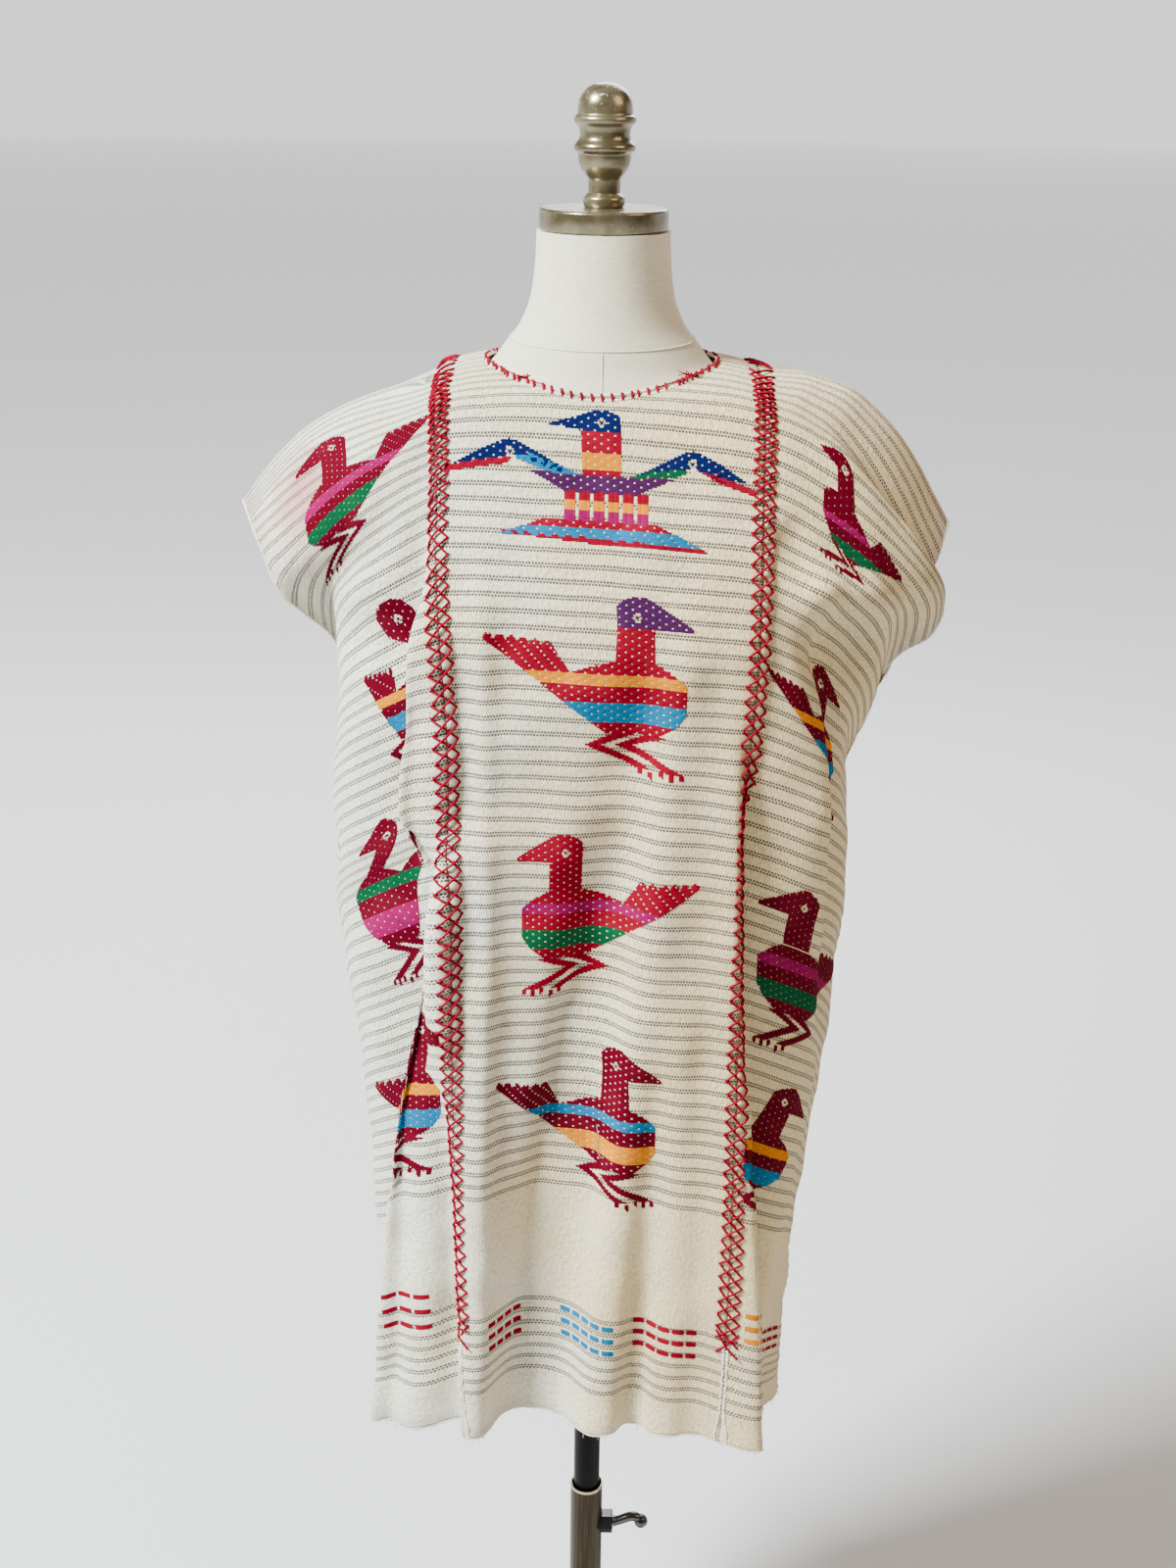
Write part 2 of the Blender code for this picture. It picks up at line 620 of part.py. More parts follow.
def build_boss(collection, cutters, material):
    """Six-sided boss on the tube's right side, bored for the clamp screw."""
    length = BOSS_OUT - TUBE_RADIUS + BOSS_SEAT
    bm = round_bar(BOSS_RADIUS, length, 6)
    edges = [edge for edge in bm.edges if all(vert.co.z > 0 for vert in edge.verts)]
    bmesh.ops.bevel(bm, geom=edges, offset=BOSS_EDGE, segments=2, profile=0.5, affect='EDGES', material=-1)
    boss = add_object('clamp_boss', mesh_from_bmesh('clamp_boss', bm), collection, material)
    boss.location = (BOSS_OUT - length / 2, 0, CLAMP_Z)
    boss.rotation_euler = ALONG_X
    tube = round_bar(TUBE_BORE, 0.05, 48)
    cut(boss, add_cutter('boss_saddle', tube, cutters, at=(0, 0, CLAMP_Z)))
    bore = round_bar(SCREW_RADIUS + TURN_GAP, 0.04, 24)
    cut(boss, add_cutter('boss_bore', bore, cutters, at=(BOSS_OUT, 0, CLAMP_Z), turn=ALONG_X))


def build_lever(collection, cutters, pivot, material):
    """Clamp screw with its bent lever and ball end, as one body turning about the screw."""
    tip = POLE_RADIUS + SCREW_TIP_GAP
    root = LEVER[0][0] + SCREW_ROOT
    bm = round_bar(SCREW_RADIUS, root - tip, 20)
    bmesh.ops.rotate(bm, verts=bm.verts, cent=(0, 0, 0), matrix=Matrix.Rotation(math.pi / 2, 3, 'Y'))
    bmesh.ops.translate(bm, verts=bm.verts, vec=((root + tip) / 2 - BOSS_OUT, 0, 0))
    centre = (BOSS_OUT, 0, CLAMP_Z)
    lever = add_object('clamp_lever', mesh_from_bmesh('clamp_lever', bm), collection, material, pivot, centre)
    join(lever, add_cutter('lever_arm', lever_arm(collection), cutters, pivot, centre))
    ball = bmesh.new()
    spot = Matrix.Translation((BALL_AT[0] - BOSS_OUT, 0, BALL_AT[1]))
    bmesh.ops.create_uvsphere(ball, u_segments=16, v_segments=10, radius=BALL_RADIUS, matrix=spot)
    join(lever, add_cutter('lever_ball', ball, cutters, pivot, centre))


def lever_arm(collection):
    """The lever's bent round arm, as a closed body."""
    arm = bpy.data.curves.new('lever_arm', 'CURVE')
    arm.dimensions = '3D'
    arm.bevel_depth = LEVER_RADIUS
    arm.bevel_resolution = 3
    arm.use_fill_caps = True
    spline = arm.splines.new('POLY')
    spline.points.add(len(LEVER) - 1)
    for point, (out, up) in zip(spline.points, LEVER):
        point.co = (out - BOSS_OUT, 0, up, 1)
    curve = add_object('lever_arm_curve', arm, collection)
    solid = bpy.data.meshes.new_from_object(curve.evaluated_get(bpy.context.evaluated_depsgraph_get()))
    bpy.data.objects.remove(curve)
    bm = bmesh.new()
    bm.from_mesh(solid)
    bmesh.ops.remove_doubles(bm, verts=bm.verts, dist=1e-6)
    bpy.data.meshes.remove(solid)
    return bm


def build_base(collection, material):
    """Round cast base with a hub that holds the tube."""
    add_turned('stand_base', BASE, BASE_SIDES, collection, material)


def add_pivot(name, collection, at, parent=None):
    """An empty on a joint's axis, at a world point."""
    pivot = bpy.data.objects.new(name, None)
    collection.objects.link(pivot)
    place(pivot, parent, at)
    return pivot


def main():
    """Build the whole part."""
    clear_scene()
    parts = make_collection('huipil_on_dress_form')
    cutters = make_collection('cutters')
    bronze = make_material('antique_bronze', (.11, .09, .06), .35, .9)
    black = make_material('black_enamel', (.02, .02, .02), .25, .3)
    slide = add_pivot('height_axis', parts, (0, 0, TUBE_TOP))
    swivel = add_pivot('swivel_axis', parts, (0, 0, POLE_TOP), slide)
    turn = add_pivot('clamp_axis', parts, (BOSS_OUT, 0, CLAMP_Z))
    build_garment(parts, cutters, swivel)
    build_form(parts, cutters, swivel)
    build_pole(parts, slide)
    build_tube(parts, cutters, bronze)
    build_boss(parts, cutters, black)
    build_lever(parts, cutters, turn, black)
    build_base(parts, black)


main()
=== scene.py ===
"""Looks of a huipil blouse worn on a limbless dress form with a telescoping stand.

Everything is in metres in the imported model's frame: X to the wearer's left, Y to the back, Z up, with
the pole on the Z axis. The cloth is described by two distances: t, down the cloth from the shoulder
fold, and s, across it from the centre line. Each level's s is laid out along its plan curve, so a row that
falls towards its side is longer than its s.
"""
import logging
import math
from dataclasses import dataclass, field
from enum import Enum

import bmesh
import bpy
import numpy as np
from mathutils import Matrix, Vector


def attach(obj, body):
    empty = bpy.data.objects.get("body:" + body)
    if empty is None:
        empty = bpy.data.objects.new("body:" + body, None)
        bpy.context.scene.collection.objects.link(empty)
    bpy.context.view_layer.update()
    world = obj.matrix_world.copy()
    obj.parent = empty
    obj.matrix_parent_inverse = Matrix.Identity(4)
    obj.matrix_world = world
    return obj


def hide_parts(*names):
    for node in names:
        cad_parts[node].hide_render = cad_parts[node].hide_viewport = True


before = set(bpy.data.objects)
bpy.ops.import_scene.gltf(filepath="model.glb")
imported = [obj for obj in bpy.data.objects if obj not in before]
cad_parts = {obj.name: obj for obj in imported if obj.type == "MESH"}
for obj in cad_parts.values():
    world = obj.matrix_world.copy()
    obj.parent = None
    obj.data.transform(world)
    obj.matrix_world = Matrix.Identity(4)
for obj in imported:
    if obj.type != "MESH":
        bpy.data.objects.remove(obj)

LOG = logging.getLogger("huipil")
Rows = tuple[tuple[float, ...], ...]
Places = np.ndarray | float
Colour = tuple[float, float, float]

FRONT_FACE = -1
BACK_FACE = 1
HALF_CENTRE = 0.126           # half the centre panel's width
SIDE_WIDTH = 0.202            # width of each side panel
LENGTH = 0.995                # shoulder fold to hem along the cloth
ARMHOLE = 0.19                # shoulder fold to the top of the side seam
RIDGE_Z = 1.463               # height of the shoulder fold at the centre line
NECK_HALF = 0.092             # half the neck hole's width
NECK_FRONT = 0.074            # how far forward the neck hole reaches
NECK_BACK = 0.062             # how far back it reaches
RIDGE_RUN = 0.12              # how far down the cloth the shoulder line still shapes it
SIDE_BOW = 0.45               # how much of a side panel's drop comes late, near its outer edge
SIDE_STITCH = 0.0105          # from the side edge to its stitching
CURVE_STEPS = 400             # even samples on each half of a level's plan curve

# ---------------------------------------------------------------- the cloth's tables
MID = ('t', 'y', 'z', 'sag')
FRONT = (
    (0.000, 0.000, 1.463, 0.00),
    (0.030, -.028, 1.460, 0.02),
    (0.060, -.053, 1.453, 0.02),
    (0.088, -.074, 1.443, 0.02),
    (0.150, -.098, 1.387, 0.02),
    (0.220, -.122, 1.321, 0.03),
    (0.300, -.140, 1.243, 0.03),
    (0.400, -.143, 1.143, 0.04),
    (0.600, -.145, 0.943, 0.05),
    (0.800, -.150, 0.743, 0.08),
    (0.995, -.156, 0.549, 0.12))
BACK = (
    (0.000, 0.000, 1.463, 0.00),
    (0.030, 0.030, 1.463, 0.02),
    (0.060, 0.058, 1.458, 0.02),
    (0.088, 0.078, 1.441, 0.02),
    (0.150, 0.099, 1.384, 0.02),
    (0.220, 0.108, 1.315, 0.03),
    (0.300, 0.112, 1.236, 0.04),
    (0.400, 0.115, 1.136, 0.05),
    (0.600, 0.121, 0.936, 0.06),
    (0.800, 0.125, 0.736, 0.08),
    (0.995, 0.129, 0.541, 0.10))
SIDE = ('t', 'x', 'y', 'gap', 'z', 'front', 'back')
LEFT = (
    (0.000, .292, 0.000, .000, 1.342, 4.0, 4.0),
    (0.050, .275, 0.000, .034, 1.316, 4.0, 4.0),
    (0.100, .258, 0.000, .044, 1.275, 3.8, 4.0),
    (0.140, .240, -.002, .030, 1.256, 3.5, 3.6),
    (0.190, .217, -.006, .000, 1.218, 3.0, 3.0),
    (0.240, .215, -.008, .000, 1.172, 2.8, 2.8),
    (0.340, .222, -.010, .000, 1.078, 2.5, 2.5),
    (0.440, .222, -.012, .000, 0.980, 2.4, 2.4),
    (0.540, .210, -.015, .000, 0.882, 2.4, 2.4),
    (0.640, .200, -.018, .000, 0.785, 2.4, 2.4),
    (0.760, .196, -.020, .000, 0.670, 2.4, 2.4),
    (0.880, .194, -.020, .000, 0.560, 2.4, 2.4),
    (0.995, .198, -.020, .000, 0.462, 2.4, 2.4))
RIGHT = (
    (0.000, .286, 0.000, .000, 1.331, 4.0, 4.0),
    (0.040, .272, 0.000, .028, 1.303, 4.0, 4.0),
    (0.070, .258, 0.000, .036, 1.284, 3.8, 4.0),
    (0.100, .281, 0.000, .030, 1.264, 3.6, 4.0),
    (0.135, .274, 0.000, .020, 1.240, 3.5, 3.6),
    (0.165, .254, 0.000, .008, 1.222, 3.3, 3.3),
    (0.190, .242, 0.000, .000, 1.200, 3.2, 3.2),
    (0.235, .228, 0.000, .000, 1.162, 3.0, 3.0),
    (0.300, .211, 0.005, .000, 1.100, 2.8, 2.8),
    (0.340, .213, 0.005, .000, 1.064, 2.7, 2.6),
    (0.400, .218, 0.005, .000, 1.010, 2.6, 2.5),
    (0.480, .214, 0.005, .000, 0.930, 2.5, 2.4),
    (0.580, .206, 0.005, .000, 0.830, 2.8, 2.4),
    (0.700, .193, 0.000, .000, 0.710, 3.4, 2.4),
    (0.800, .186, 0.000, .000, 0.618, 4.0, 2.4),
    (0.900, .183, 0.000, .000, 0.542, 4.6, 2.4),
    (0.995, .182, 0.000, .000, 0.478, 5.0, 2.4))
SHOULDER = ('p', 'x', 'z')
SHOULDER_LEFT = (
    (0.00, .126, 1.452),
    (0.05, .133, 1.448),
    (0.20, .161, 1.438),
    (0.35, .190, 1.428),
    (0.50, .218, 1.415),
    (0.62, .241, 1.400),
    (0.81, .269, 1.372),
    (1.00, .292, 1.342))
SHOULDER_RIGHT = (
    (0.00, .126, 1.453),
    (0.07, .143, 1.452),
    (0.16, .161, 1.451),
    (0.24, .178, 1.447),
    (0.34, .199, 1.440),
    (0.47, .220, 1.424),
    (0.59, .239, 1.405),
    (0.74, .258, 1.379),
    (0.87, .272, 1.355),
    (1.00, .286, 1.331))
OVER = ('face', 'to', 'start', 'end', 'rise', 'fall', 's0', 's1', 'deep0', 'deep1', 'width', 'lean')
OVER_FOLDS = (
    (-1, -1, .16, 0.50, .12, .10, -.110, -.148, .018, .018, .018, 1.20),
    (-1, -1, .38, 1.20, .16, .10, -.106, -.175, .018, .022, .021, 1.25),
    (-1, -1, .40, 1.20, .12, .10, -.106, -.107, .011, .009, .011, 0.60),
    (-1, 1, .33, 0.70, .10, .24, 0.107, 0.107, .008, .008, .011, 0.62),
    (-1, 1, .14, 0.66, .30, .30, 0.150, 0.195, .012, .012, .022, 0.90),
    (-1, 1, .40, 1.20, .50, .10, 0.104, 0.126, .010, .026, .018, 1.25),
    (1, -1, .24, 1.20, .40, .10, -.100, -.150, .020, .026, .024, 1.05),
    (1, 1, .20, 1.20, .40, .10, 0.130, 0.120, .026, .036, .024, 1.10))
SOFT = ('face', 'start', 'end', 'rise', 'fall', 's0', 's1', 'deep0', 'deep1', 'width')
SOFT_FOLDS = (
    (-1, .30, 1.20, .40, .10, -.098, -.098, 0.004, 0.014, .018),
    (-1, .20, 1.20, .35, .10, 0.052, -.044, -.006, -.014, .022),
    (-1, .24, 1.20, .40, .10, 0.090, 0.018, 0.004, 0.008, .018),
    (-1, .58, 1.20, .30, .10, 0.058, 0.042, -.003, -.009, .013),
    (-1, .62, 1.20, .30, .10, 0.088, 0.074, 0.001, 0.006, .013),
    (-1, .52, 1.20, .50, .10, 0.215, 0.205, -.004, -.036, .032),
    (1, .22, 1.20, .30, .10, -.060, -.050, 0.008, 0.012, .022),
    (1, .26, 1.20, .30, .10, 0.050, 0.060, 0.008, 0.012, .022))
# Long hanging folds that only the looks have: a run from t0 to the hem that bows aside in the middle.
HANG = ('face', 't0', 's0', 's1', 'bow', 'deep0', 'deep1', 'width0', 'width1')
HANGING_FOLDS = (
    (-1, .21, 0.060, -.070, -.006, -.0040, -.0130, .014, .036),
    (-1, .20, 0.075, 0.004, -.004, 0.0040, 0.0080, .012, .014),
    (-1, .50, 0.062, 0.038, 0.000, -.0020, -.0060, .010, .011),
    (-1, .52, 0.086, 0.060, 0.000, 0.0020, 0.0060, .011, .012),
    (-1, .44, 0.014, -.068, -.013, -.0030, -.0060, .008, .012),
    (-1, .15, -.090, -.112, 0.004, 0.0070, 0.0080, .009, .011),
    (-1, .21, -.120, -.182, 0.008, 0.0040, 0.0055, .008, .009),
    (-1, .21, -.140, -.206, 0.004, -.0060, -.0090, .006, .007),
    (-1, .62, -.146, -.152, 0.000, -.0020, -.0060, .008, .009),
    (1, .20, -.020, -.050, 0.006, -.0030, -.0090, .016, .030),
    (1, .24, 0.030, 0.020, 0.004, 0.0030, 0.0070, .014, .018),
    (1, .22, 0.098, 0.120, -.004, 0.0040, 0.0080, .012, .015),
    (1, .26, -.100, -.122, 0.004, 0.0040, 0.0080, .012, .015),
    (1, .24, 0.160, 0.190, 0.006, -.0030, -.0060, .012, .014))
# How far the cloth at each front seam is drawn across: where it starts, over how long, how far.
DRAWN = ((-HALF_CENTRE, .20, .18, .0085), (HALF_CENTRE, .28, .10, -.0030))
DRAWN_WIDTH = 0.035
# Creases that only the looks have: a run from (s0, t0) to (s1, t1), how far it stands out, its width.
CREASE = ('face', 's0', 't0', 's1', 't1', 'deep', 'width')
CREASES = (
    (-1, .268, .105, .175, .062, -.0030, .010),
    (-1, .235, .145, .150, .110, 0.0020, .012),
    (-1, -.300, .120, -.215, .140, 0.0022, .010),
    (-1, -.290, .165, -.200, .180, -.0024, .010),
    (-1, -.262, .205, -.180, .205, 0.0020, .011),
    (-1, -.110, .210, -.095, .330, 0.0018, .010),
    (-1, 0.085, .260, 0.110, .420, -.0020, .011),
    (-1, 0.050, .420, 0.064, .700, 0.0020, .011),
    (-1, -.070, .300, -.078, .560, 0.0014, .010),
    (-1, -.015, .640, -.022, .930, 0.0018, .010),
    (-1, 0.085, .700, 0.082, .960, 0.0018, .009),
    (-1, -.240, .260, -.235, .420, -.0024, .012),
    (-1, -.262, .420, -.250, .640, 0.0024, .012),
    (-1, 0.140, .232, 0.285, .158, 0.0130, .015),
    (-1, 0.150, .280, 0.272, .222, -.0130, .018),
    (-1, 0.140, .170, 0.176, .215, -.0060, .013),
    (-1, -.155, .225, -.285, .165, 0.0050, .014),
    (-1, -.165, .262, -.262, .222, -.0040, .014),
    (-1, -.290, .100, -.190, .060, 0.0024, .012),
    (-1, -.300, .070, -.230, .045, -.0020, .008),
    (-1, -.230, .330, -.180, .345, 0.0020, .009),
    (-1, -.235, .380, -.175, .372, -.0018, .008),
    (-1, -.215, .600, -.225, .900, -.0022, .012),
    (-1, 0.250, .260, 0.240, .400, 0.0022, .012),
    (-1, 0.262, .480, 0.270, .760, -.0020, .012),
    (1, .268, .105, .175, .070, -.0026, .010),
    (1, -.290, .130, -.205, .150, 0.0022, .010),
    (1, -.010, .160, -.020, .420, 0.0020, .012),
    (1, 0.020, .420, 0.010, .820, -.0024, .012),
    (1, -.240, .260, -.225, .560, 0.0024, .012),
    (1, 0.235, .240, 0.245, .600, -.0026, .012),
    (1, -.205, .560, -.215, .920, 0.0024, .012),
    (1, 0.215, .560, 0.205, .940, 0.0024, .012))


# ---------------------------------------------------------------- cloth surface
def smooth(x: np.ndarray | float) -> np.ndarray:
    """Ease from 0 to 1."""
    x = np.clip(x, 0, 1)
    return x * x * (3 - 2 * x)


def column(rows: Rows, names: tuple[str, ...], name: str, at: np.ndarray | float) -> np.ndarray:
    """Read a table's column at any place by a curve that never overshoots its rows.

    Args:
        rows: The table.
        names: The names of its columns.
        name: The column to read.
        at: Where to read it, in the first column's terms.

    Returns:
        The values there.
    """
    place = np.array([row[0] for row in rows])
    value = np.array([row[names.index(name)] for row in rows])
    slope = np.diff(value) / np.diff(place)
    tangent = np.concatenate([slope[:1], np.zeros(len(rows) - 2), slope[-1:]])
    same = slope[:-1] * slope[1:] > 0
    both = np.where(same, slope[:-1] + slope[1:], 1)
    tangent[1:-1] = np.where(same, 2 * slope[:-1] * slope[1:] / both, 0)
    at = np.clip(at, place[0], place[-1])
    i = np.clip(np.searchsorted(place, at) - 1, 0, len(rows) - 2)
    step = place[i + 1] - place[i]
    u = (at - place[i]) / step
    start = (1 + 2 * u) * (1 - u) ** 2 * value[i] + u * (1 - u) ** 2 * step * tangent[i]
    end = u * u * (3 - 2 * u) * value[i + 1] + u * u * (u - 1) * step * tangent[i + 1]
    return start + end


def fade(fold: dict[str, float], t: float) -> tuple[float, float]:
    """How strongly a fold shows at the level t, and how far down its run that level is."""
    strength = smooth((t - fold['start']) / fold['rise']) * smooth((fold['end'] - t) / fold['fall'])
    run = np.clip((t - fold['start']) / (min(fold['end'], LENGTH) - fold['start']), 0, 1)
    return strength, run


def fold_shift(face: int, t: float, s: np.ndarray) -> tuple[np.ndarray, np.ndarray]:
    """How far the folds move the cloth out and along at the level t.

    Args:
        face: -1 for the front, 1 for the back.
        t: The level.
        s: Distances from the centre line.

    Returns:
        The shift outwards and the shift along the cloth, for each distance.
    """
    out = np.zeros(len(s))
    along = np.zeros(len(s))
    for row in OVER_FOLDS:
        fold = dict(zip(OVER, row))
        strength, run = fade(fold, t)
        if fold['face'] != face or strength <= 0:
            continue
        crest = fold['s0'] + (fold['s1'] - fold['s0']) * run
        u = fold['to'] * (s - crest) / fold['width'] - 1
        wave = -u * np.exp(0.5 - u * u / 2)
        out += strength * (fold['deep0'] + (fold['deep1'] - fold['deep0']) * run) * wave
        along += strength * fold['to'] * fold['lean'] * fold['width'] * wave
    for row in SOFT_FOLDS:
        fold = dict(zip(SOFT, row))
        strength, run = fade(fold, t)
        if fold['face'] != face or strength <= 0:
            continue
        u = (s - fold['s0'] - (fold['s1'] - fold['s0']) * run) / fold['width']
        out += strength * (fold['deep0'] + (fold['deep1'] - fold['deep0']) * run) * np.exp(-u * u / 2)
    return out, along


def arc_length(x: np.ndarray, y: np.ndarray) -> np.ndarray:
    """Distance along a plan curve from its first point."""
    return np.concatenate([[0], np.cumsum(np.hypot(np.diff(x), np.diff(y)))])


def plan_curve(face: int, t: float) -> tuple[np.ndarray, np.ndarray, np.ndarray]:
    """Work out the folded plan curve of one face at the level t, left to right.

    Args:
        face: -1 for the front, 1 for the back.
        t: The level.

    Returns:
        x, y and the distance s of its points along the plan curve.
    """
    depth = column(FRONT if face < 0 else BACK, MID, 'y', t)
    turn = np.linspace(0, math.pi / 2, CURVE_STEPS)
    halves = []
    for side, rows in ((-1, LEFT), (1, RIGHT)):
        out = column(rows, SIDE, 'x', t)
        edge = column(rows, SIDE, 'y', t) + face * column(rows, SIDE, 'gap', t)
        power = 2 / column(rows, SIDE, 'front' if face < 0 else 'back', t)
        halves.append((side * out * np.sin(turn) ** power, edge + (depth - edge) * np.cos(turn) ** power))
    x = np.concatenate([halves[0][0][:0:-1], halves[1][0]])
    y = np.concatenate([halves[0][1][:0:-1], halves[1][1]])
    s = arc_length(x, y)
    s -= s[CURVE_STEPS - 1]
    even = np.linspace(s[0], s[-1], 2 * CURVE_STEPS)
    x = np.interp(even, s, x)
    y = np.interp(even, s, y)
    along_x = np.gradient(x, even)
    along_y = np.gradient(y, even)
    size = np.hypot(along_x, along_y) + 1e-12
    out, along = fold_shift(face, t, even)
    folded_x = x + (along * along_x - face * out * along_y) / size
    folded_y = y + (along * along_y + face * out * along_x) / size
    folded_s = arc_length(folded_x, folded_y)
    return folded_x, folded_y, folded_s - np.interp(0, even, folded_s)


def cloth_level(face: int, t: float, s: np.ndarray) -> np.ndarray:
    """Place one face of the cloth at the level t.

    Args:
        face: -1 for the front, 1 for the back.
        t: The level.
        s: Distances from the centre line.

    Returns:
        A row of points.
    """
    x, y, arc = plan_curve(face, t)
    s = np.asarray(s, float)
    side = np.where(s < 0, -1, 1)
    away = np.abs(s)
    p = np.clip((away - HALF_CENTRE) / SIDE_WIDTH, 0, 1)
    inner = np.minimum(away / HALF_CENTRE, 1)
    room = np.where(s < 0, -arc[0], arc[-1])
    place = side * np.where(away <= HALF_CENTRE, away, HALF_CENTRE + (room - HALF_CENTRE) * p)
    px = np.interp(place, arc, x)
    py = np.interp(place, arc, y)
    pz = np.zeros(len(s))
    mid_z, sag = (column(FRONT if face < 0 else BACK, MID, name, t) for name in ('z', 'sag'))
    lower = smooth(t / ARMHOLE)
    ridge = (1 - lower) * (1 - smooth(t / RIDGE_RUN))
    for sign, rows, line in ((-1, LEFT, SHOULDER_LEFT), (1, RIGHT, SHOULDER_RIGHT)):
        drop = mid_z - column(rows, SIDE, 'z', t)
        tip_x, tip_z = line[-1][1:]
        reach = (column(rows, SIDE, 'x', t) - HALF_CENTRE) / (tip_x - HALF_CENTRE)
        line_x = np.where(p > 0, HALF_CENTRE + (column(line, SHOULDER, 'x', p) - HALF_CENTRE) * reach, away)
        line_z = np.where(p > 0, column(line, SHOULDER, 'z', p),
                          RIDGE_Z - (RIDGE_Z - line[0][2]) * inner ** 5)
        top = mid_z - drop * (RIDGE_Z - line_z) / (RIDGE_Z - tip_z)
        low = mid_z - drop * (sag * inner ** 2 + (1 - sag) * ((1 - SIDE_BOW) * p + SIDE_BOW * p * p))
        px = np.where(side == sign, px + (sign * line_x - px) * ridge, px)
        pz = np.where(side == sign, top * (1 - lower) + low * lower, pz)
    return np.stack([px, py, pz], -1)


@dataclass
class Drape:
    """The cloth's surface as it hangs, looked up from even samples of its two faces."""

    step_t: float = 0.0025
    step_s: float = 0.0020
    ripple: float = 0.00022
    waves: int = 26
    seed: int = 7
    points: dict[int, np.ndarray] = field(default_factory=dict)
    normals: dict[int, np.ndarray] = field(default_factory=dict)

    def __post_init__(self) -> None:
        """Sample both faces and their outward normals."""
        self.t = np.arange(0, LENGTH + self.step_t, self.step_t)
        self.s = np.linspace(-HALF_CENTRE - SIDE_WIDTH, HALF_CENTRE + SIDE_WIDTH,
                             round(2 * (HALF_CENTRE + SIDE_WIDTH) / self.step_s) + 1)
        for face in (FRONT_FACE, BACK_FACE):
            flat = np.array([cloth_level(face, min(t, LENGTH), self.s) for t in self.t])
            shape = self.t[:, None], self.s[None, :]
            if face == FRONT_FACE:
                flat[..., 0] += self.drawn(*shape)
            normal = self.outward(face, flat)
            flat = flat + normal * self.creases(face, *shape)[..., None]
            self.points[face] = flat
            self.normals[face] = self.outward(face, flat)

    def outward(self, face: int, flat: np.ndarray) -> np.ndarray:
        """Unit normals of a sampled face, pointing away from the form."""
        normal = np.cross(np.gradient(flat, axis=1), np.gradient(flat, axis=0)) * face
        return normal / (np.linalg.norm(normal, axis=-1, keepdims=True) + 1e-12)

    def drawn(self, t: np.ndarray, s: np.ndarray) -> np.ndarray:
        """How far the front is drawn sideways round its two seams."""
        total = np.zeros(np.broadcast_shapes(t.shape, s.shape))
        for seam, start, rise, far in DRAWN:
            total += far * smooth((t - start) / rise) * np.exp(-((s - seam) / DRAWN_WIDTH) ** 2 / 2)
        return total

    def puckers(self, t: np.ndarray, s: np.ndarray) -> np.ndarray:
        """The sewn side's groove, with its cloth gathered a little on both sides of it."""
        away = HALF_CENTRE + SIDE_WIDTH - SIDE_STITCH - np.abs(s)
        gathers = .0011 * np.sin(2 * math.pi * t / .0135 + 3 * np.sin(37 * t)) * np.exp(-(away / .009) ** 2)
        return (gathers - .0022 * np.exp(-(away / .0030) ** 2)) * smooth((t - ARMHOLE) / .02)

    def creases(self, face: int, t: np.ndarray, s: np.ndarray) -> np.ndarray:
        """How far creases, hanging folds, ripples and puckers move the cloth out.

        Args:
            face: -1 for the front, 1 for the back.
            t: Distances down from the shoulder fold.
            s: Distances across from the centre line.

        Returns:
            The shifts outwards.
        """
        total = self.short_creases(face, t, s) + self.hanging(face, t, s) + self.ripples(face, t, s)
        return total * smooth((t - 0.02) / 0.16) + 0.0004 * (1 - smooth(t / 0.16)) + self.puckers(t, s)

    def short_creases(self, face: int, t: np.ndarray, s: np.ndarray) -> np.ndarray:
        """How far the short creases move the cloth out."""
        total = np.zeros(np.broadcast_shapes(t.shape, s.shape))
        for row in CREASES:
            crease = dict(zip(CREASE, row))
            if crease['face'] != face:
                continue
            ds, dt = crease['s1'] - crease['s0'], crease['t1'] - crease['t0']
            size = math.hypot(ds, dt)
            along = ((s - crease['s0']) * ds + (t - crease['t0']) * dt) / size
            aside = ((s - crease['s0']) * dt - (t - crease['t0']) * ds) / size
            ends = smooth(along / (0.3 * size)) * smooth((size - along) / (0.3 * size))
            total += crease['deep'] * ends * np.exp(-(aside / crease['width']) ** 2 / 2)
        return total

    def hanging(self, face: int, t: np.ndarray, s: np.ndarray) -> np.ndarray:
        """How far the long hanging folds move the cloth out."""
        total = np.zeros(np.broadcast_shapes(t.shape, s.shape))
        for row in HANGING_FOLDS:
            hang = dict(zip(HANG, row))
            if hang['face'] != face:
                continue
            run = np.clip((t - hang['t0']) / (LENGTH - hang['t0']), 0, 1)
            crest = hang['s0'] + (hang['s1'] - hang['s0']) * run + hang['bow'] * 4 * run * (1 - run)
            deep = (hang['deep0'] + (hang['deep1'] - hang['deep0']) * run) * smooth(run / .22)
            width = hang['width0'] + (hang['width1'] - hang['width0']) * run
            total += deep * np.exp(-((s - crest) / width) ** 2 / 2)
        return total

    def ripples(self, face: int, t: np.ndarray, s: np.ndarray) -> np.ndarray:
        """How far the repeatable small waves move the cloth out."""
        total = np.zeros(np.broadcast_shapes(t.shape, s.shape))
        random = np.random.RandomState(self.seed + face)
        for _ in range(self.waves):
            turn = random.uniform(0, math.pi)
            wave = 2 * math.pi / random.uniform(.035, .11)
            phase = random.uniform(0, 2 * math.pi)
            total += self.ripple * np.sin(wave * (math.cos(turn) * s + math.sin(turn) * t) + phase)
        return total

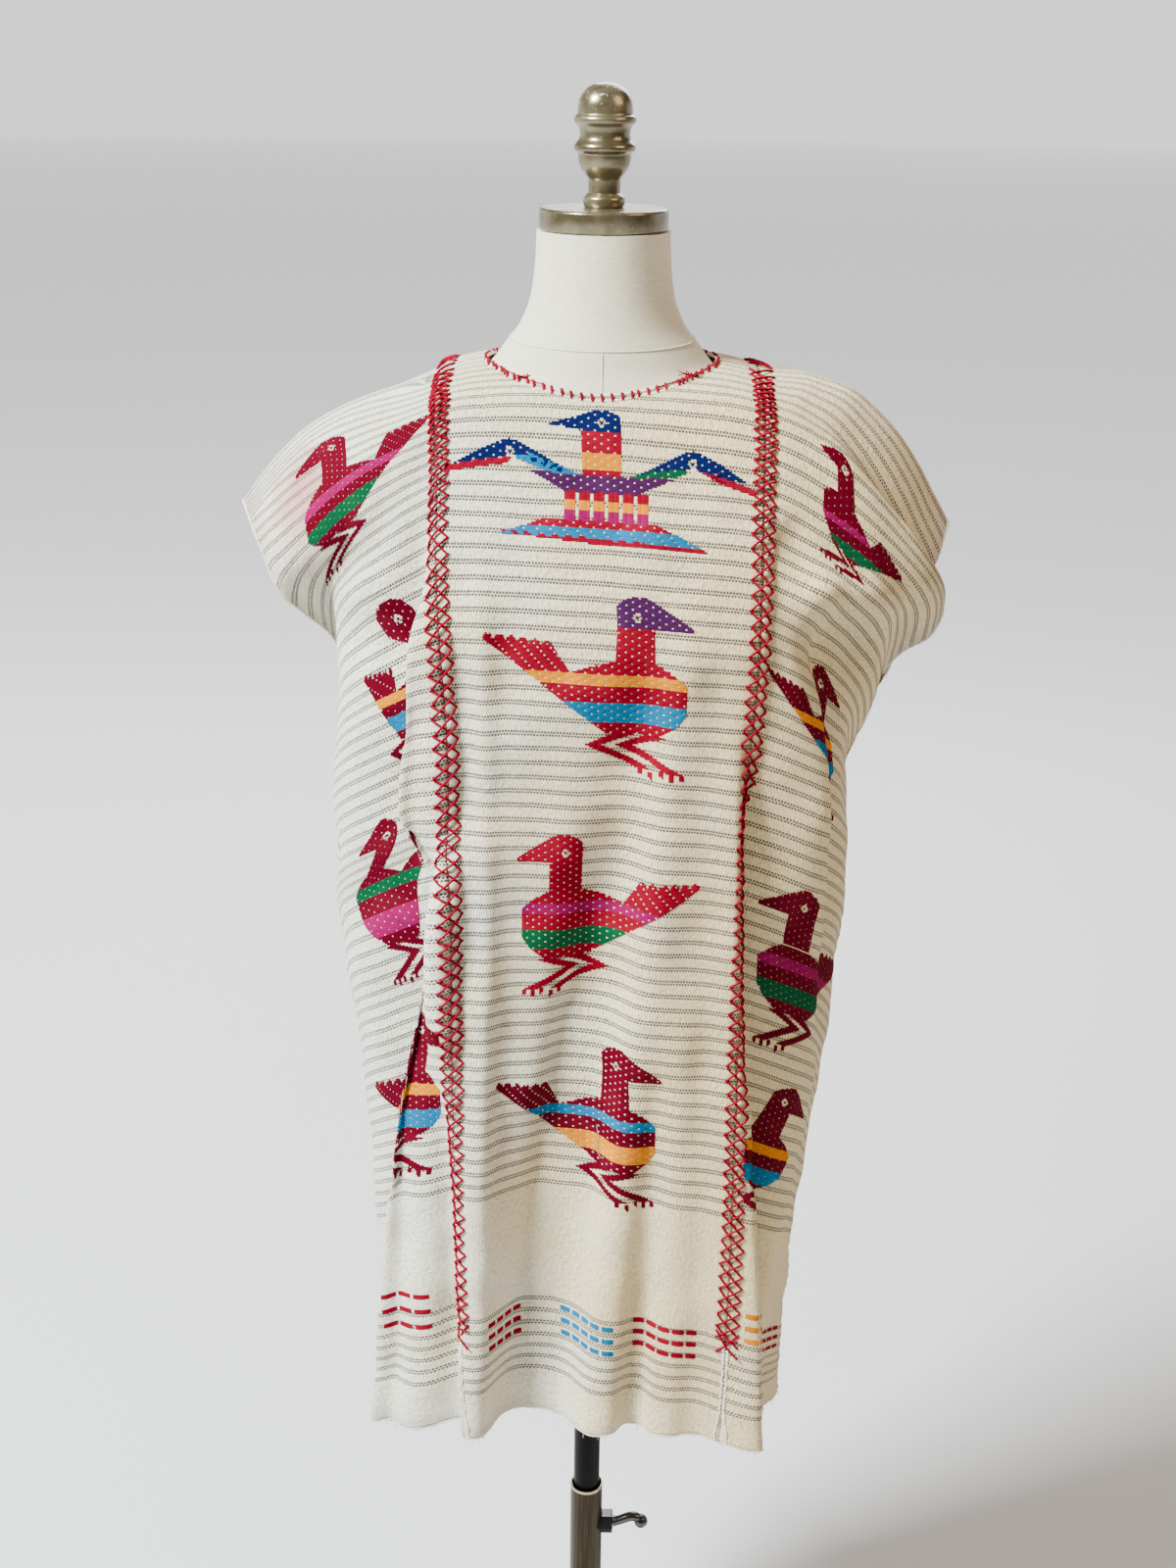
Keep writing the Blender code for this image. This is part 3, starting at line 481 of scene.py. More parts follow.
    def lookup(self, table: np.ndarray, t: np.ndarray, s: np.ndarray) -> np.ndarray:
        """Read a sampled table between its samples."""
        i = np.clip(t / self.step_t, 0, len(self.t) - 1.001)
        j = np.clip((s - self.s[0]) / (self.s[1] - self.s[0]), 0, len(self.s) - 1.001)
        i0, j0 = i.astype(int), j.astype(int)
        a, b = (i - i0)[..., None], (j - j0)[..., None]
        upper = table[i0, j0] * (1 - b) + table[i0, j0 + 1] * b
        lower = table[i0 + 1, j0] * (1 - b) + table[i0 + 1, j0 + 1] * b
        return upper * (1 - a) + lower * a

    def at(self, face: int, t: Places, s: Places, lift: Places = 0.0) -> np.ndarray:
        """Points on the cloth, or above it.

        Args:
            face: -1 for the front, 1 for the back.
            t: Distances down from the shoulder fold.
            s: Distances across from the centre line.
            lift: How far above the middle of the cloth's wall.

        Returns:
            The points, one for each pair of distances.
        """
        t, s = np.broadcast_arrays(np.asarray(t, float), np.asarray(s, float))
        place = self.lookup(self.points[face], t, s)
        normal = self.lookup(self.normals[face], t, s)
        normal = normal / (np.linalg.norm(normal, axis=-1, keepdims=True) + 1e-12)
        return place + normal * np.asarray(lift)[..., None]

    def neck_edge(self, face: int, s: np.ndarray) -> np.ndarray:
        """How far down the cloth the neck hole's edge is."""
        reach = np.sqrt(np.clip(1 - (np.asarray(s) / NECK_HALF) ** 2, 0, 1))
        reach = reach * (NECK_FRONT if face < 0 else NECK_BACK)
        levels = np.linspace(0, RIDGE_RUN, 241)
        depth = np.abs(column(FRONT if face < 0 else BACK, MID, 'y', levels))
        return np.interp(reach, depth, levels)


def row_droop(t: np.ndarray, s: np.ndarray) -> np.ndarray:
    """How far below its even level a weft row of the front hangs, as the cloth is pulled askew."""
    across = np.clip(s, -HALF_CENTRE, HALF_CENTRE)
    askew = 0.055 * across * smooth((t - 0.03) / 0.10)
    sleeve = 0.38 * (s + 0.20) * (1 - smooth((t - 0.06) / 0.11)) * smooth(t / 0.03)
    return askew + np.where(s < -HALF_CENTRE, sleeve, 0)


# ---------------------------------------------------------------- finishes
class Graph:
    """A material's node tree, built a step at a time."""

    def __init__(self, name: str, **sockets: float | tuple) -> None:
        """Start a Principled material.

        Args:
            name: The material's name.
            **sockets: Constants for the shader, with underscores for the spaces in their names.
        """
        self.material = bpy.data.materials.new(name)
        self.material.use_nodes = True
        self.tree = self.material.node_tree
        self.shader = self.tree.nodes['Principled BSDF']
        for key, value in sockets.items():
            self.shader.inputs[key.replace('_', ' ')].default_value = value

    def add(self, kind: str, **properties: object) -> bpy.types.Node:
        """Add a node and set its properties."""
        node = self.tree.nodes.new(kind)
        for key, value in properties.items():
            setattr(node, key, value)
        return node

    def put(self, socket: bpy.types.NodeSocket, value: object) -> None:
        """Link a socket to another node, or set its value."""
        if isinstance(value, bpy.types.NodeSocket):
            self.tree.links.new(value, socket)
        elif isinstance(value, tuple) and len(value) == 3 and socket.type == 'RGBA':
            socket.default_value = (*value, 1.0)
        else:
            socket.default_value = value

    def math(self, operation: str, *values: object) -> bpy.types.NodeSocket:
        """A Math node on up to three values."""
        node = self.add('ShaderNodeMath', operation=operation)
        for socket, value in zip(node.inputs, values):
            self.put(socket, value)
        return node.outputs[0]

    def smoothly(self, value: object, low: float, high: float) -> bpy.types.NodeSocket:
        """Ease from 0 at low to 1 at high; low may be the larger."""
        node = self.add('ShaderNodeMapRange', interpolation_type='SMOOTHSTEP')
        flip = low > high
        self.put(node.inputs['Value'], value)
        node.inputs['From Min'].default_value = min(low, high)
        node.inputs['From Max'].default_value = max(low, high)
        node.inputs['To Min'].default_value = 1.0 if flip else 0.0
        node.inputs['To Max'].default_value = 0.0 if flip else 1.0
        return node.outputs['Result']

    def mix(self, factor: object, first: object, second: object, blend: str = 'MIX') -> bpy.types.NodeSocket:
        """Mix two colours."""
        node = self.add('ShaderNodeMix', data_type='RGBA', blend_type=blend)
        self.put(node.inputs[0], factor)
        self.put(node.inputs[6], first)
        self.put(node.inputs[7], second)
        return node.outputs[2]

    def length(self, across: object, down: object) -> bpy.types.NodeSocket:
        """The length of a step given by its two parts."""
        squares = [self.math('MULTIPLY', part, part) for part in (across, down)]
        return self.math('SQRT', self.math('ADD', *squares))

    def tint(self, factor: object, ground: object, colour: Colour) -> bpy.types.NodeSocket:
        """Multiply a colour into another by a factor."""
        return self.mix(factor, ground, self.mix(1.0, ground, colour, 'MULTIPLY'))

    def apart(self, vector: object) -> bpy.types.bpy_prop_collection:
        """A coordinate's three parts."""
        split = self.add('ShaderNodeSeparateXYZ')
        self.put(split.inputs[0], vector)
        return split.outputs

    def stretched(self, vector: object, scale: tuple[float, float, float]) -> bpy.types.NodeSocket:
        """Scale a coordinate."""
        node = self.add('ShaderNodeVectorMath', operation='MULTIPLY')
        self.put(node.inputs[0], vector)
        node.inputs[1].default_value = scale
        return node.outputs[0]

    def noise(self, vector: object, scale: float, detail: float = 2.0,
              roughness: float = 0.5) -> bpy.types.NodeSocket:
        """Noise from 0 to 1 at a coordinate."""
        node = self.add('ShaderNodeTexNoise')
        self.put(node.inputs['Vector'], vector)
        node.inputs['Scale'].default_value = scale
        node.inputs['Detail'].default_value = detail
        node.inputs['Roughness'].default_value = roughness
        return node.outputs[0]

    def place(self) -> bpy.types.NodeSocket:
        """Object coordinates."""
        return self.add('ShaderNodeTexCoord').outputs['Object']

    def cloth_map(self) -> bpy.types.NodeSocket:
        """The piece's own map, in metres across and down the cloth."""
        return self.add('ShaderNodeUVMap', uv_map='cloth').outputs['UV']

    def bump(self, height: object, distance: float, strength: float = 1.0,
             under: bpy.types.NodeSocket | None = None) -> bpy.types.NodeSocket:
        """Turn heights from 0 to 1 into a normal."""
        node = self.add('ShaderNodeBump')
        self.put(node.inputs['Height'], height)
        node.inputs['Distance'].default_value = distance
        node.inputs['Strength'].default_value = strength
        if under is not None:
            self.put(node.inputs['Normal'], under)
        return node.outputs[0]

    def finish(self, **links: object) -> bpy.types.Material:
        """Join sockets to the shader and hand the material over."""
        for key, value in links.items():
            self.put(self.shader.inputs[key.replace('_', ' ')], value)
        return self.material


@dataclass(frozen=True)
class Stain:
    """A soft-edged mark on the front of the cloth."""

    s: float
    t: float
    half_width: float
    half_height: float
    colour: Colour
    strength: float


@dataclass(frozen=True)
class WovenCotton:
    """Cream hand-loomed cotton with rows of openwork and a fine ground weave, with painted shade in its
    holes, towards its hem and on its right side, and painted light on its left.
    """

    # Painted light and painted shade: the lighter, cooler cream where the left-hand light falls, and the
    # darker, warmer cream where the cloth is shaded.
    painted_lit_cream: Colour = (.82, .775, .63)
    warm: Colour = (.80, .635, .335)
    # The hole colour is painted shade: this near-black stands in for the shade inside the blouse seen through
    # the openwork.
    hole: Colour = (.045, .035, .028)
    row_pitch: float = 0.0120
    dot_pitch: float = 0.0025
    line_gap: float = 0.0012
    stains: tuple[Stain, ...] = (
        Stain(-.268, .094, .036, .052, (.55, .24, .20), .92),
        Stain(-.285, .130, .030, .030, (.62, .50, .38), .35),
        Stain(-.180, .330, .060, .090, (.60, .55, .46), .16),
        Stain(0.060, .520, .020, .050, (.66, .57, .44), .22),
        Stain(0.150, .900, .040, .060, (.58, .50, .40), .25))

    def make(self, name: str = 'woven_cotton') -> bpy.types.Material:
        """Build the material on the piece's own map."""
        g = Graph(name, Roughness=.92, Sheen_Weight=.25, Sheen_Roughness=.6, Specular_IOR_Level=.18)
        cloth = g.cloth_map()
        u, v, _ = g.apart(cloth)
        down = g.math('ABSOLUTE', v)
        wander = g.noise(g.stretched(cloth, (1, .35, 1)), 22, 1)
        wavy = g.math('MULTIPLY_ADD', wander, .0022, down)
        row = g.math('FRACT', g.math('DIVIDE', wavy, self.row_pitch))
        off = g.math('MULTIPLY', g.math('SUBTRACT', row, .5), self.row_pitch)
        line = g.math('ABSOLUTE', g.math('SUBTRACT', g.math('ABSOLUTE', off), self.line_gap))
        lower = g.math('GREATER_THAN', off, 0.0)
        shifted = g.math('MULTIPLY_ADD', lower, .5, g.math('DIVIDE', u, self.dot_pitch))
        dot = g.math('MULTIPLY', g.math('SUBTRACT', g.math('FRACT', shifted), .5), self.dot_pitch)
        hole = g.smoothly(g.length(line, dot), .00116, .00078)
        upper_rows = g.smoothly(down, .770, .764)
        hem_rows = g.math('MULTIPLY', g.smoothly(down, .874, .880), g.smoothly(down, .962, .956))
        openwork = g.math('MAXIMUM', upper_rows, hem_rows)
        hole = g.math('MULTIPLY', hole, openwork)
        channel = g.math('MULTIPLY', g.smoothly(g.math('ABSOLUTE', off), .0030, .0014), openwork)
        uneven = g.math('MULTIPLY_ADD', g.noise(cloth, 60, 2), .9, .62)
        hole = g.math('MULTIPLY', hole, g.math('MINIMUM', uneven, 1.0))
        # The colour shifts from the painted light cream on the left to the painted shade cream on the right,
        # loosened by random tone from the noise.
        tone = g.smoothly(g.math('ADD', u, g.math('MULTIPLY', g.math('SUBTRACT', g.noise(cloth, 9, 2), .5),
                                                  .5)),
                          -.23, .13)
        ground = g.mix(tone, self.painted_lit_cream, self.warm)
        weft = g.noise(g.stretched(cloth, (60, 1500, 1)), 1, 2)
        warp = g.noise(g.stretched(cloth, (1500, 60, 1)), 1, 2)
        slub = g.math('ADD', weft, warp)
        ground = g.mix(g.smoothly(slub, .8, 1.2), g.mix(1.0, ground, (.95, .945, .93), 'MULTIPLY'), ground)
        speckled = g.smoothly(g.noise(g.stretched(cloth, (1.5, .8, 1)), 300, 2, .6), .40, .62)
        ground = g.mix(speckled, g.mix(1.0, ground, (.83, .82, .79), 'MULTIPLY'), ground)
        # Darker and greyer towards the hem: painted shade for the window light falling off lower down.
        ground = g.tint(g.math('MULTIPLY', g.smoothly(down, .62, .96), .40), ground, (.86, .86, .85))
        for mark in self.stains:
            aside = g.math('DIVIDE', g.math('SUBTRACT', u, mark.s), mark.half_width)
            below = g.math('DIVIDE', g.math('SUBTRACT', v, mark.t), mark.half_height)
            ragged = g.math('SUBTRACT', g.noise(cloth, 45, 3), .5)
            reach = g.math('MULTIPLY_ADD', ragged, 1.1, g.length(aside, below))
            ground = g.mix(g.math('MULTIPLY', g.smoothly(reach, 1.35, .3), mark.strength),
                           ground, mark.colour)
        edge = g.smoothly(g.math('ABSOLUTE', u), .300, .329)
        ground = g.mix(g.math('MULTIPLY', edge, g.smoothly(down, .22, .17)), ground, (.62, .52, .36))
        ground = g.mix(g.math('MULTIPLY', g.smoothly(down, .984, .996), .5), ground, (.42, .39, .34))
        # Painted shade: the openwork holes take the near-black hole colour in place of the dark inside seen
        # through them.
        colour = g.mix(g.math('MULTIPLY', hole, .96), ground, self.hole)
        twill_a = g.math('SINE', g.math('MULTIPLY', g.math('ADD', u, v), 2 * math.pi / .00125))
        twill_b = g.math('SINE', g.math('MULTIPLY', u, 2 * math.pi / .00085))
        weave = g.math('MULTIPLY_ADD', g.math('MULTIPLY', twill_a, twill_b), .25, .5)
        height = g.math('SUBTRACT', g.math('MULTIPLY_ADD', g.math('SUBTRACT', slub, 1.0), .5, weave),
                        g.math('MULTIPLY', hole, 1.2))
        height = g.math('SUBTRACT', height, g.math('MULTIPLY', channel, .8))
        height = g.math('MULTIPLY_ADD', g.noise(g.stretched(cloth, (1, 1.6, 1)), 420, 2), 1.3, height)
        rumple = g.bump(g.noise(g.stretched(cloth, (1, .8, 1)), 55, 3), .0040, .35)
        crinkle = g.bump(g.noise(g.stretched(cloth, (1.3, .8, 1)), 240, 3, .6), .0034, .95, rumple)
        return g.finish(Base_Color=colour, Normal=g.bump(height, .00060, .85, crinkle))


class Yarn(Enum):
    """The yarns of the brocade and the seams."""

    RED = (.215, .000, .012)
    CRIMSON = (.100, .000, .008)
    YELLOW = (.60, .190, .000)
    BLUE = (.000, .135, .280)
    NAVY = (.002, .007, .060)
    PURPLE = (.050, .008, .052)
    MAGENTA = (.230, .002, .065)
    GREEN = (.002, .070, .024)
    CREAM = (.70, .65, .53)
    GREY = (.30, .28, .25)


@dataclass(frozen=True)
class YarnFinish:
    """Soft cotton yarn with its strands showing along the float."""

    yarn: Yarn

    def make(self) -> bpy.types.Material:
        """Build the material for floats, on their own map."""
        g = Graph('yarn_' + self.yarn.name.lower(), Roughness=.85, Specular_IOR_Level=.04)
        cloth = g.cloth_map()
        strand = g.noise(g.stretched(cloth, (160, 2600, 1)), 1, 1)
        patch = g.noise(cloth, 30, 2)
        deep = tuple(.62 * c for c in self.yarn.value)
        light = tuple(min(1.0, 1.18 * c + .004) for c in self.yarn.value)
        colour = g.mix(g.smoothly(strand, .35, .65), deep, self.yarn.value)
        colour = g.mix(g.math('MULTIPLY', g.smoothly(patch, .45, .75), .55), colour, light)
        return g.finish(Base_Color=colour, Normal=g.bump(strand, .00030, .8))


@dataclass(frozen=True)
class CordFinish:
    """Plied sewing yarn, patterned on the object's own coordinates."""

    yarn: Yarn
    ply: float = 0.0016

    def make(self) -> bpy.types.Material:
        """Build the material for stitches and rolled edges."""
        g = Graph('thread_' + self.yarn.name.lower(), Roughness=.85, Specular_IOR_Level=.04)
        place = g.place()
        twist = g.noise(g.stretched(place, (1, 1, 1.4)), 1 / self.ply, 2)
        patch = g.noise(place, 38, 2)
        deep = tuple(.60 * c for c in self.yarn.value)
        light = tuple(min(1.0, 1.15 * c + .004) for c in self.yarn.value)
        colour = g.mix(g.smoothly(twist, .3, .65), deep, self.yarn.value)
        colour = g.mix(g.math('MULTIPLY', g.smoothly(patch, .45, .7), .5), colour, light)
        return g.finish(Base_Color=colour, Normal=g.bump(twist, .00040, .7))


@dataclass(frozen=True)
class Linen:
    """Fine beige linen stretched over the form."""

    pale: Colour = (.64, .60, .45)
    dark: Colour = (.51, .465, .335)

    def make(self) -> bpy.types.Material:
        """Build the material on object coordinates."""
        g = Graph('linen', Roughness=.88, Sheen_Weight=.15, Specular_IOR_Level=.2)
        place = g.place()
        across = g.noise(g.stretched(place, (140, 140, 1900)), 1, 2)
        upright = g.noise(g.stretched(place, (1900, 1900, 140)), 1, 2)
        thread = g.math('ADD', across, upright)
        tone = g.noise(place, 11, 3)
        colour = g.mix(g.smoothly(thread, .75, 1.25), self.dark, self.pale)
        colour = g.mix(g.math('MULTIPLY', g.smoothly(tone, .4, .7), .35), colour, (.60, .57, .45))
        return g.finish(Base_Color=colour, Normal=g.bump(thread, .00030, .5))


@dataclass(frozen=True)
class LacqueredBrass:
    """Aged brass under glossy lacquer, specked and rubbed."""

    deep: Colour = (.110, .088, .044)
    light: Colour = (.200, .168, .095)

    def make(self) -> bpy.types.Material:
        """Build the material on object coordinates."""
        g = Graph('aged_brass', Metallic=.72, Coat_Weight=.5, Coat_Roughness=.08)
        place = g.place()
        cloud = g.noise(place, 55, 4)
        speck = g.noise(place, 420, 1)
        scratch = g.noise(g.stretched(place, (900, 900, 60)), 1, 1)
        top = g.smoothly(g.apart(place)[2], 1.640, 1.662)
        spots = g.math('MULTIPLY', g.smoothly(speck, .66, .72), g.math('MULTIPLY_ADD', top, .85, .10))
        colour = g.mix(g.smoothly(cloud, .35, .7), self.deep, self.light)
        colour = g.mix(spots, colour, (.70, .66, .56))
        rough = g.math('MULTIPLY_ADD', cloud, .22, g.math('MULTIPLY_ADD', scratch, .10, .14))
        return g.finish(Base_Color=colour, Roughness=rough, Normal=g.bump(cloud, .0004, .25))


@dataclass(frozen=True)
class DrawnMetal:
    """Metal tube drawn and rubbed along its length."""

    name: str
    deep: Colour
    light: Colour
    rough: float
    metallic: float = .9
    coat: float = .15
    shine: float = .25

    def make(self) -> bpy.types.Material:
        """Build the material on object coordinates."""
        g = Graph(self.name, Metallic=self.metallic, Coat_Weight=self.coat, Coat_Roughness=.2,
                  Specular_IOR_Level=self.shine)
        place = g.place()
        drawn = g.noise(g.stretched(place, (900, 900, 14)), 1, 3)
        cloud = g.noise(place, 18, 3)
        colour = g.mix(g.smoothly(drawn, .3, .7), self.deep, self.light)
        colour = g.mix(g.math('MULTIPLY', g.smoothly(cloud, .5, .75), .5), colour, self.deep)
        rough = g.math('MULTIPLY_ADD', drawn, .16, self.rough)
        return g.finish(Base_Color=colour, Roughness=rough, Normal=g.bump(drawn, .0002, .3))


@dataclass(frozen=True)
class BlackEnamel:
    """Glossy black enamel, clouded and specked with dust."""

    metallic: float = .0

    def make(self) -> bpy.types.Material:
        """Build the material on object coordinates."""
        g = Graph('black_enamel', Metallic=self.metallic, Coat_Weight=.6, Coat_Roughness=.1)
        place = g.place()
        cloud = g.noise(place, 40, 3)
        dust = g.noise(place, 700, 1)
        colour = g.mix(g.smoothly(cloud, .35, .7), (.010, .010, .010), (.028, .027, .025))
        colour = g.mix(g.math('MULTIPLY', g.smoothly(dust, .64, .72), .35), colour, (.16, .155, .145))
        rough = g.math('MULTIPLY_ADD', cloud, .25, .16)
        return g.finish(Base_Color=colour, Roughness=rough, Normal=g.bump(cloud, .0005, .2))


# ---------------------------------------------------------------- making and placing meshes
SPIN_STEPS = 96


def mesh_of(bm: bmesh.types.BMesh, name: str) -> bpy.types.Mesh:
    """Turn a bmesh into smooth mesh data and free it."""
    mesh = bpy.data.meshes.new(name)
    bm.to_mesh(mesh)
    bm.free()
    mesh.shade_smooth()
    return mesh


def publish(name: str, mesh: bpy.types.Mesh, finishes: list[bpy.types.Material], body: str,
            replaces: tuple[str, ...] = ()) -> bpy.types.Object:
    """Put a finished piece into the scene.

    Args:
        name: The piece's name.
        mesh: Its mesh, in the model's own place.
        finishes: Its materials, in the order of its slots.
        body: The CAD body that it moves with.
        replaces: CAD nodes that it stands for.

    Returns:
        The new object.
    """
    piece = bpy.data.objects.new(name, mesh)
    bpy.context.scene.collection.objects.link(piece)
    for finish in finishes:
        mesh.materials.append(finish)
    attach(piece, body)
    if replaces:
        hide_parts(*replaces)
    LOG.info('%s: %d faces on %s', name, len(mesh.polygons), body)
    return piece


def round_threads(name: str, paths: list[np.ndarray], radius: float, sides: int = 1) -> bpy.types.Mesh:
    """Sweep a round section along many open paths and join them into one mesh.

    Args:
        name: The mesh's name.
        paths: Arrays of points.
        radius: The thread's radius.
        sides: Blender's bevel resolution.

    Returns:
        The mesh.
    """
    curve = bpy.data.curves.new(name, 'CURVE')
    curve.dimensions = '3D'
    curve.bevel_depth = radius
    curve.bevel_resolution = sides
    curve.use_fill_caps = True
    for path in paths:
        spline = curve.splines.new('POLY')
        spline.points.add(len(path) - 1)
        spline.points.foreach_set('co', np.column_stack([path, np.ones(len(path))]).ravel())
    holder = bpy.data.objects.new(name + '_path', curve)
    bpy.context.scene.collection.objects.link(holder)
    graph = bpy.context.evaluated_depsgraph_get()
    mesh = bpy.data.meshes.new_from_object(holder.evaluated_get(graph))
    bpy.data.objects.remove(holder)
    bpy.data.curves.remove(curve)
    mesh.name = name
    mesh.shade_smooth()
    return mesh


def joined_copies(name: str, template: bpy.types.Mesh, places: np.ndarray, chart: np.ndarray,
                  slots: np.ndarray) -> bpy.types.Mesh:
    """Join many bent copies of a small template into one mesh.

    Args:
        name: The mesh's name.
        template: The small mesh that is repeated.
        places: The points of every copy, copies by template points by 3.
        chart: The map of every copy's points, copies by template points by 2.
        slots: The material slot of every copy.

    Returns:
        The joined mesh.
    """
    copies, size = places.shape[:2]
    faces = np.array([list(face.vertices) for face in template.polygons])
    corners = (faces[None] + (np.arange(copies) * size)[:, None, None]).reshape(-1)
    count = len(faces) * copies
    mesh = bpy.data.meshes.new(name)
    mesh.vertices.add(copies * size)
    mesh.vertices.foreach_set('co', places.reshape(-1))
    mesh.loops.add(count * 4)
    mesh.loops.foreach_set('vertex_index', corners)
    mesh.polygons.add(count)
    mesh.polygons.foreach_set('loop_start', np.arange(count) * 4)
    mesh.polygons.foreach_set('material_index', np.repeat(slots, len(faces)))
    mesh.update(calc_edges=True)
    layer = mesh.uv_layers.new(name='cloth')
    layer.data.foreach_set('uv', chart.reshape(-1, 2)[corners].reshape(-1))
    mesh.shade_smooth()
    return mesh


def spun(name: str, profile: Rows) -> bpy.types.Mesh:
    """Turn a closed-ended profile of (height, radius) round the Z axis."""
    bm = bmesh.new()
    points = [bm.verts.new((radius, 0, height)) for height, radius in profile]
    edges = [bm.edges.new(pair) for pair in zip(points, points[1:])]
    bmesh.ops.spin(bm, geom=points + edges, cent=(0, 0, 0), axis=(0, 0, 1), angle=2 * math.pi,
                   steps=SPIN_STEPS, use_merge=True)
    bmesh.ops.remove_doubles(bm, verts=bm.verts, dist=1e-6)
    bmesh.ops.recalc_face_normals(bm, faces=bm.faces)
    mesh = mesh_of(bm, name)
    mesh.set_sharp_from_angle(angle=math.radians(42))
    return mesh


def eased(profile: Rows, between: int = 4) -> Rows:
    """Put rounded steps between a profile's points, by a Catmull-Rom curve through them."""
    points = np.array(profile)
    padded = np.vstack([points[:1], points, points[-1:]])
    made = []
    for i in range(len(points) - 1):
        a, b, c, d = padded[i:i + 4]
        for u in np.linspace(0, 1, between, endpoint=False):
            made.append(.5 * (2 * b + (c - a) * u + (2 * a - 5 * b + 4 * c - d) * u * u
                              + (3 * b - a - 3 * c + d) * u ** 3))
    made.append(points[-1])
    return tuple((float(h), float(max(r, 0.0))) for h, r in made)


# ---------------------------------------------------------------- the woven figures
class Lattice(Enum):
    """How far the floats of one row stand aside from those of the row above, in floats."""

    STAGGER = .5
    SLANT = .27
    CLOSE = 0.0


@dataclass(frozen=True)
class Shape:
    """One woven shape: its outline across and down in millimetres, and its bands from the top."""

    outline: Rows
    bands: tuple[tuple[float, Yarn], ...]
    lattice: Lattice = Lattice.STAGGER
    eye: tuple[float, float] | None = None

    def yarn_at(self, y: float) -> Yarn:
        """The yarn of the band that holds the row y."""
        for last, yarn in self.bands:
            if y <= last:
                return yarn
        return self.bands[-1][1]


def bird(head: Yarn, body: Yarn, first: Yarn, second: Yarn, fan: float = 0.0) -> tuple[Shape, ...]:
    """A long-necked bird that faces right, with two bands across its body and its tail.

    Args:
        head: Yarn of the head.
        body: Yarn of the neck, body, tail and legs.
        first: Yarn of the upper band.
        second: Yarn of the lower band.
        fan: How far the tail's feathers are spread upward.

    Returns:
        The bird's shapes.
    """
    bands = ((61, body), (71, first), (84, body), (100, second), (150, body))
    legs = ((150, body),)
    feathers = tuple((-90 + 9.4 * i + across, 37 - fan + (.9 + .05 * fan) * i + down) for i in range(6)
                     for across, down in ((0, 0), (1.5, -3), (5, -4.5), (7.8, -3)))
    toes = tuple(Shape(((x, y), (x + 4, y + .5), (x + 4, y + 6), (x, y + 5)), legs, Lattice.CLOSE)
                 for x, y in ((34, 137), (42, 139), (51, 136), (59, 138), (67, 137)))
    return (
        Shape(((16, 24), (15, 8), (20, 3), (28, 0), (38, 0), (46, 4), (75, 21), (75, 24)), ((150, head),),
              eye=(31, 15)),
        Shape(((16, 24), (45, 24), (46, 50), (15, 50)), legs),
        Shape((*feathers, (-20, 61), (-57, 61)), legs, Lattice.SLANT),
        Shape(((15, 50), (46, 50), (58, 56), (71, 66), (71, 90), (64, 99), (50, 109), (8, 109), (-57, 61),
               (-20, 61), (-6, 56)), bands),
        Shape(((14, 109), (33, 109), (5, 119), (46, 138), (34, 138), (-8, 119)), legs, Lattice.CLOSE),
        Shape(((41, 109), (58, 109), (30, 119), (71, 138), (58, 138), (16, 119)), legs, Lattice.CLOSE),
        *toes)


def hidden_neck_bird(head: Yarn) -> tuple[Shape, ...]:
    """The head and the top of the neck of a bird whose neck goes under a fold."""
    bands = ((50, head),)
    return (Shape(((15, 8), (20, 3), (28, 0), (38, 0), (46, 4), (50, 12), (48, 24), (16, 24)), bands,
                  eye=(33, 14)),
            Shape(((17, 24), (48, 24), (40, 38), (30, 34)), bands))


def three_headed_bird() -> tuple[Shape, ...]:
    """A bird with a head on each wing and a third between them, over a row of feather columns."""
    navy = ((200, Yarn.NAVY),)
    red = ((200, Yarn.RED),)
    columns = []
    for i in range(6):
        x = -28 + 11.2 * i
        columns.append(Shape(((x, 61), (x + 8.6, 61), (x + 8.6, 85), (x, 85)),
                             ((69, Yarn.RED), (76, Yarn.YELLOW), (90, Yarn.MAGENTA)), Lattice.CLOSE))
    return (
        Shape(((-44, 14), (-22, 7), (-6, 1), (2, 0), (14, 5), (15, 17), (-14, 17), (-28, 15)), navy,
              eye=(0, 11)),
        Shape(((-16, 17), (15, 17), (16, 49), (-14, 49)),
              ((33, Yarn.RED), (44, Yarn.YELLOW), (60, Yarn.RED))),
        Shape(((-114, 44), (-92, 33), (-72, 25), (-64, 27), (-24, 46), (-34, 47), (-66, 37), (-92, 41)), navy,
              eye=(-70, 34)),
        Shape(((-68, 38), (-54, 35), (-14, 49), (-40, 48)), ((200, Yarn.BLUE),), Lattice.CLOSE),
        Shape(((-119, 45), (-92, 41), (-68, 38), (-72, 43), (-100, 47), (-119, 50)), red, Lattice.CLOSE),
        Shape(((-56, 47), (-36, 48), (-14, 49), (16, 49), (36, 48), (58, 47), (34, 58), (28, 62), (-28, 62),
               (-34, 58)), ((200, Yarn.PURPLE),)),
        Shape(((26, 47), (36, 42), (64, 27), (72, 25), (92, 33), (112, 44), (96, 44), (70, 38)), navy,
              eye=(70, 34)),
        Shape(((20, 49), (42, 41), (72, 39), (56, 46), (34, 48)), ((200, Yarn.GREEN),)),
        Shape(((72, 38), (96, 43), (119, 49), (119, 54), (94, 48)), red, Lattice.CLOSE),
        *columns,
        Shape(((-46, 84), (44, 84), (58, 90), (-60, 90)), red),
        Shape(((-62, 90), (60, 90), (80, 99), (-76, 96)), ((200, Yarn.BLUE),), Lattice.SLANT),
        Shape(((-82, 95), (-70, 94), (80, 99), (84, 102), (10, 102)), red, Lattice.CLOSE))


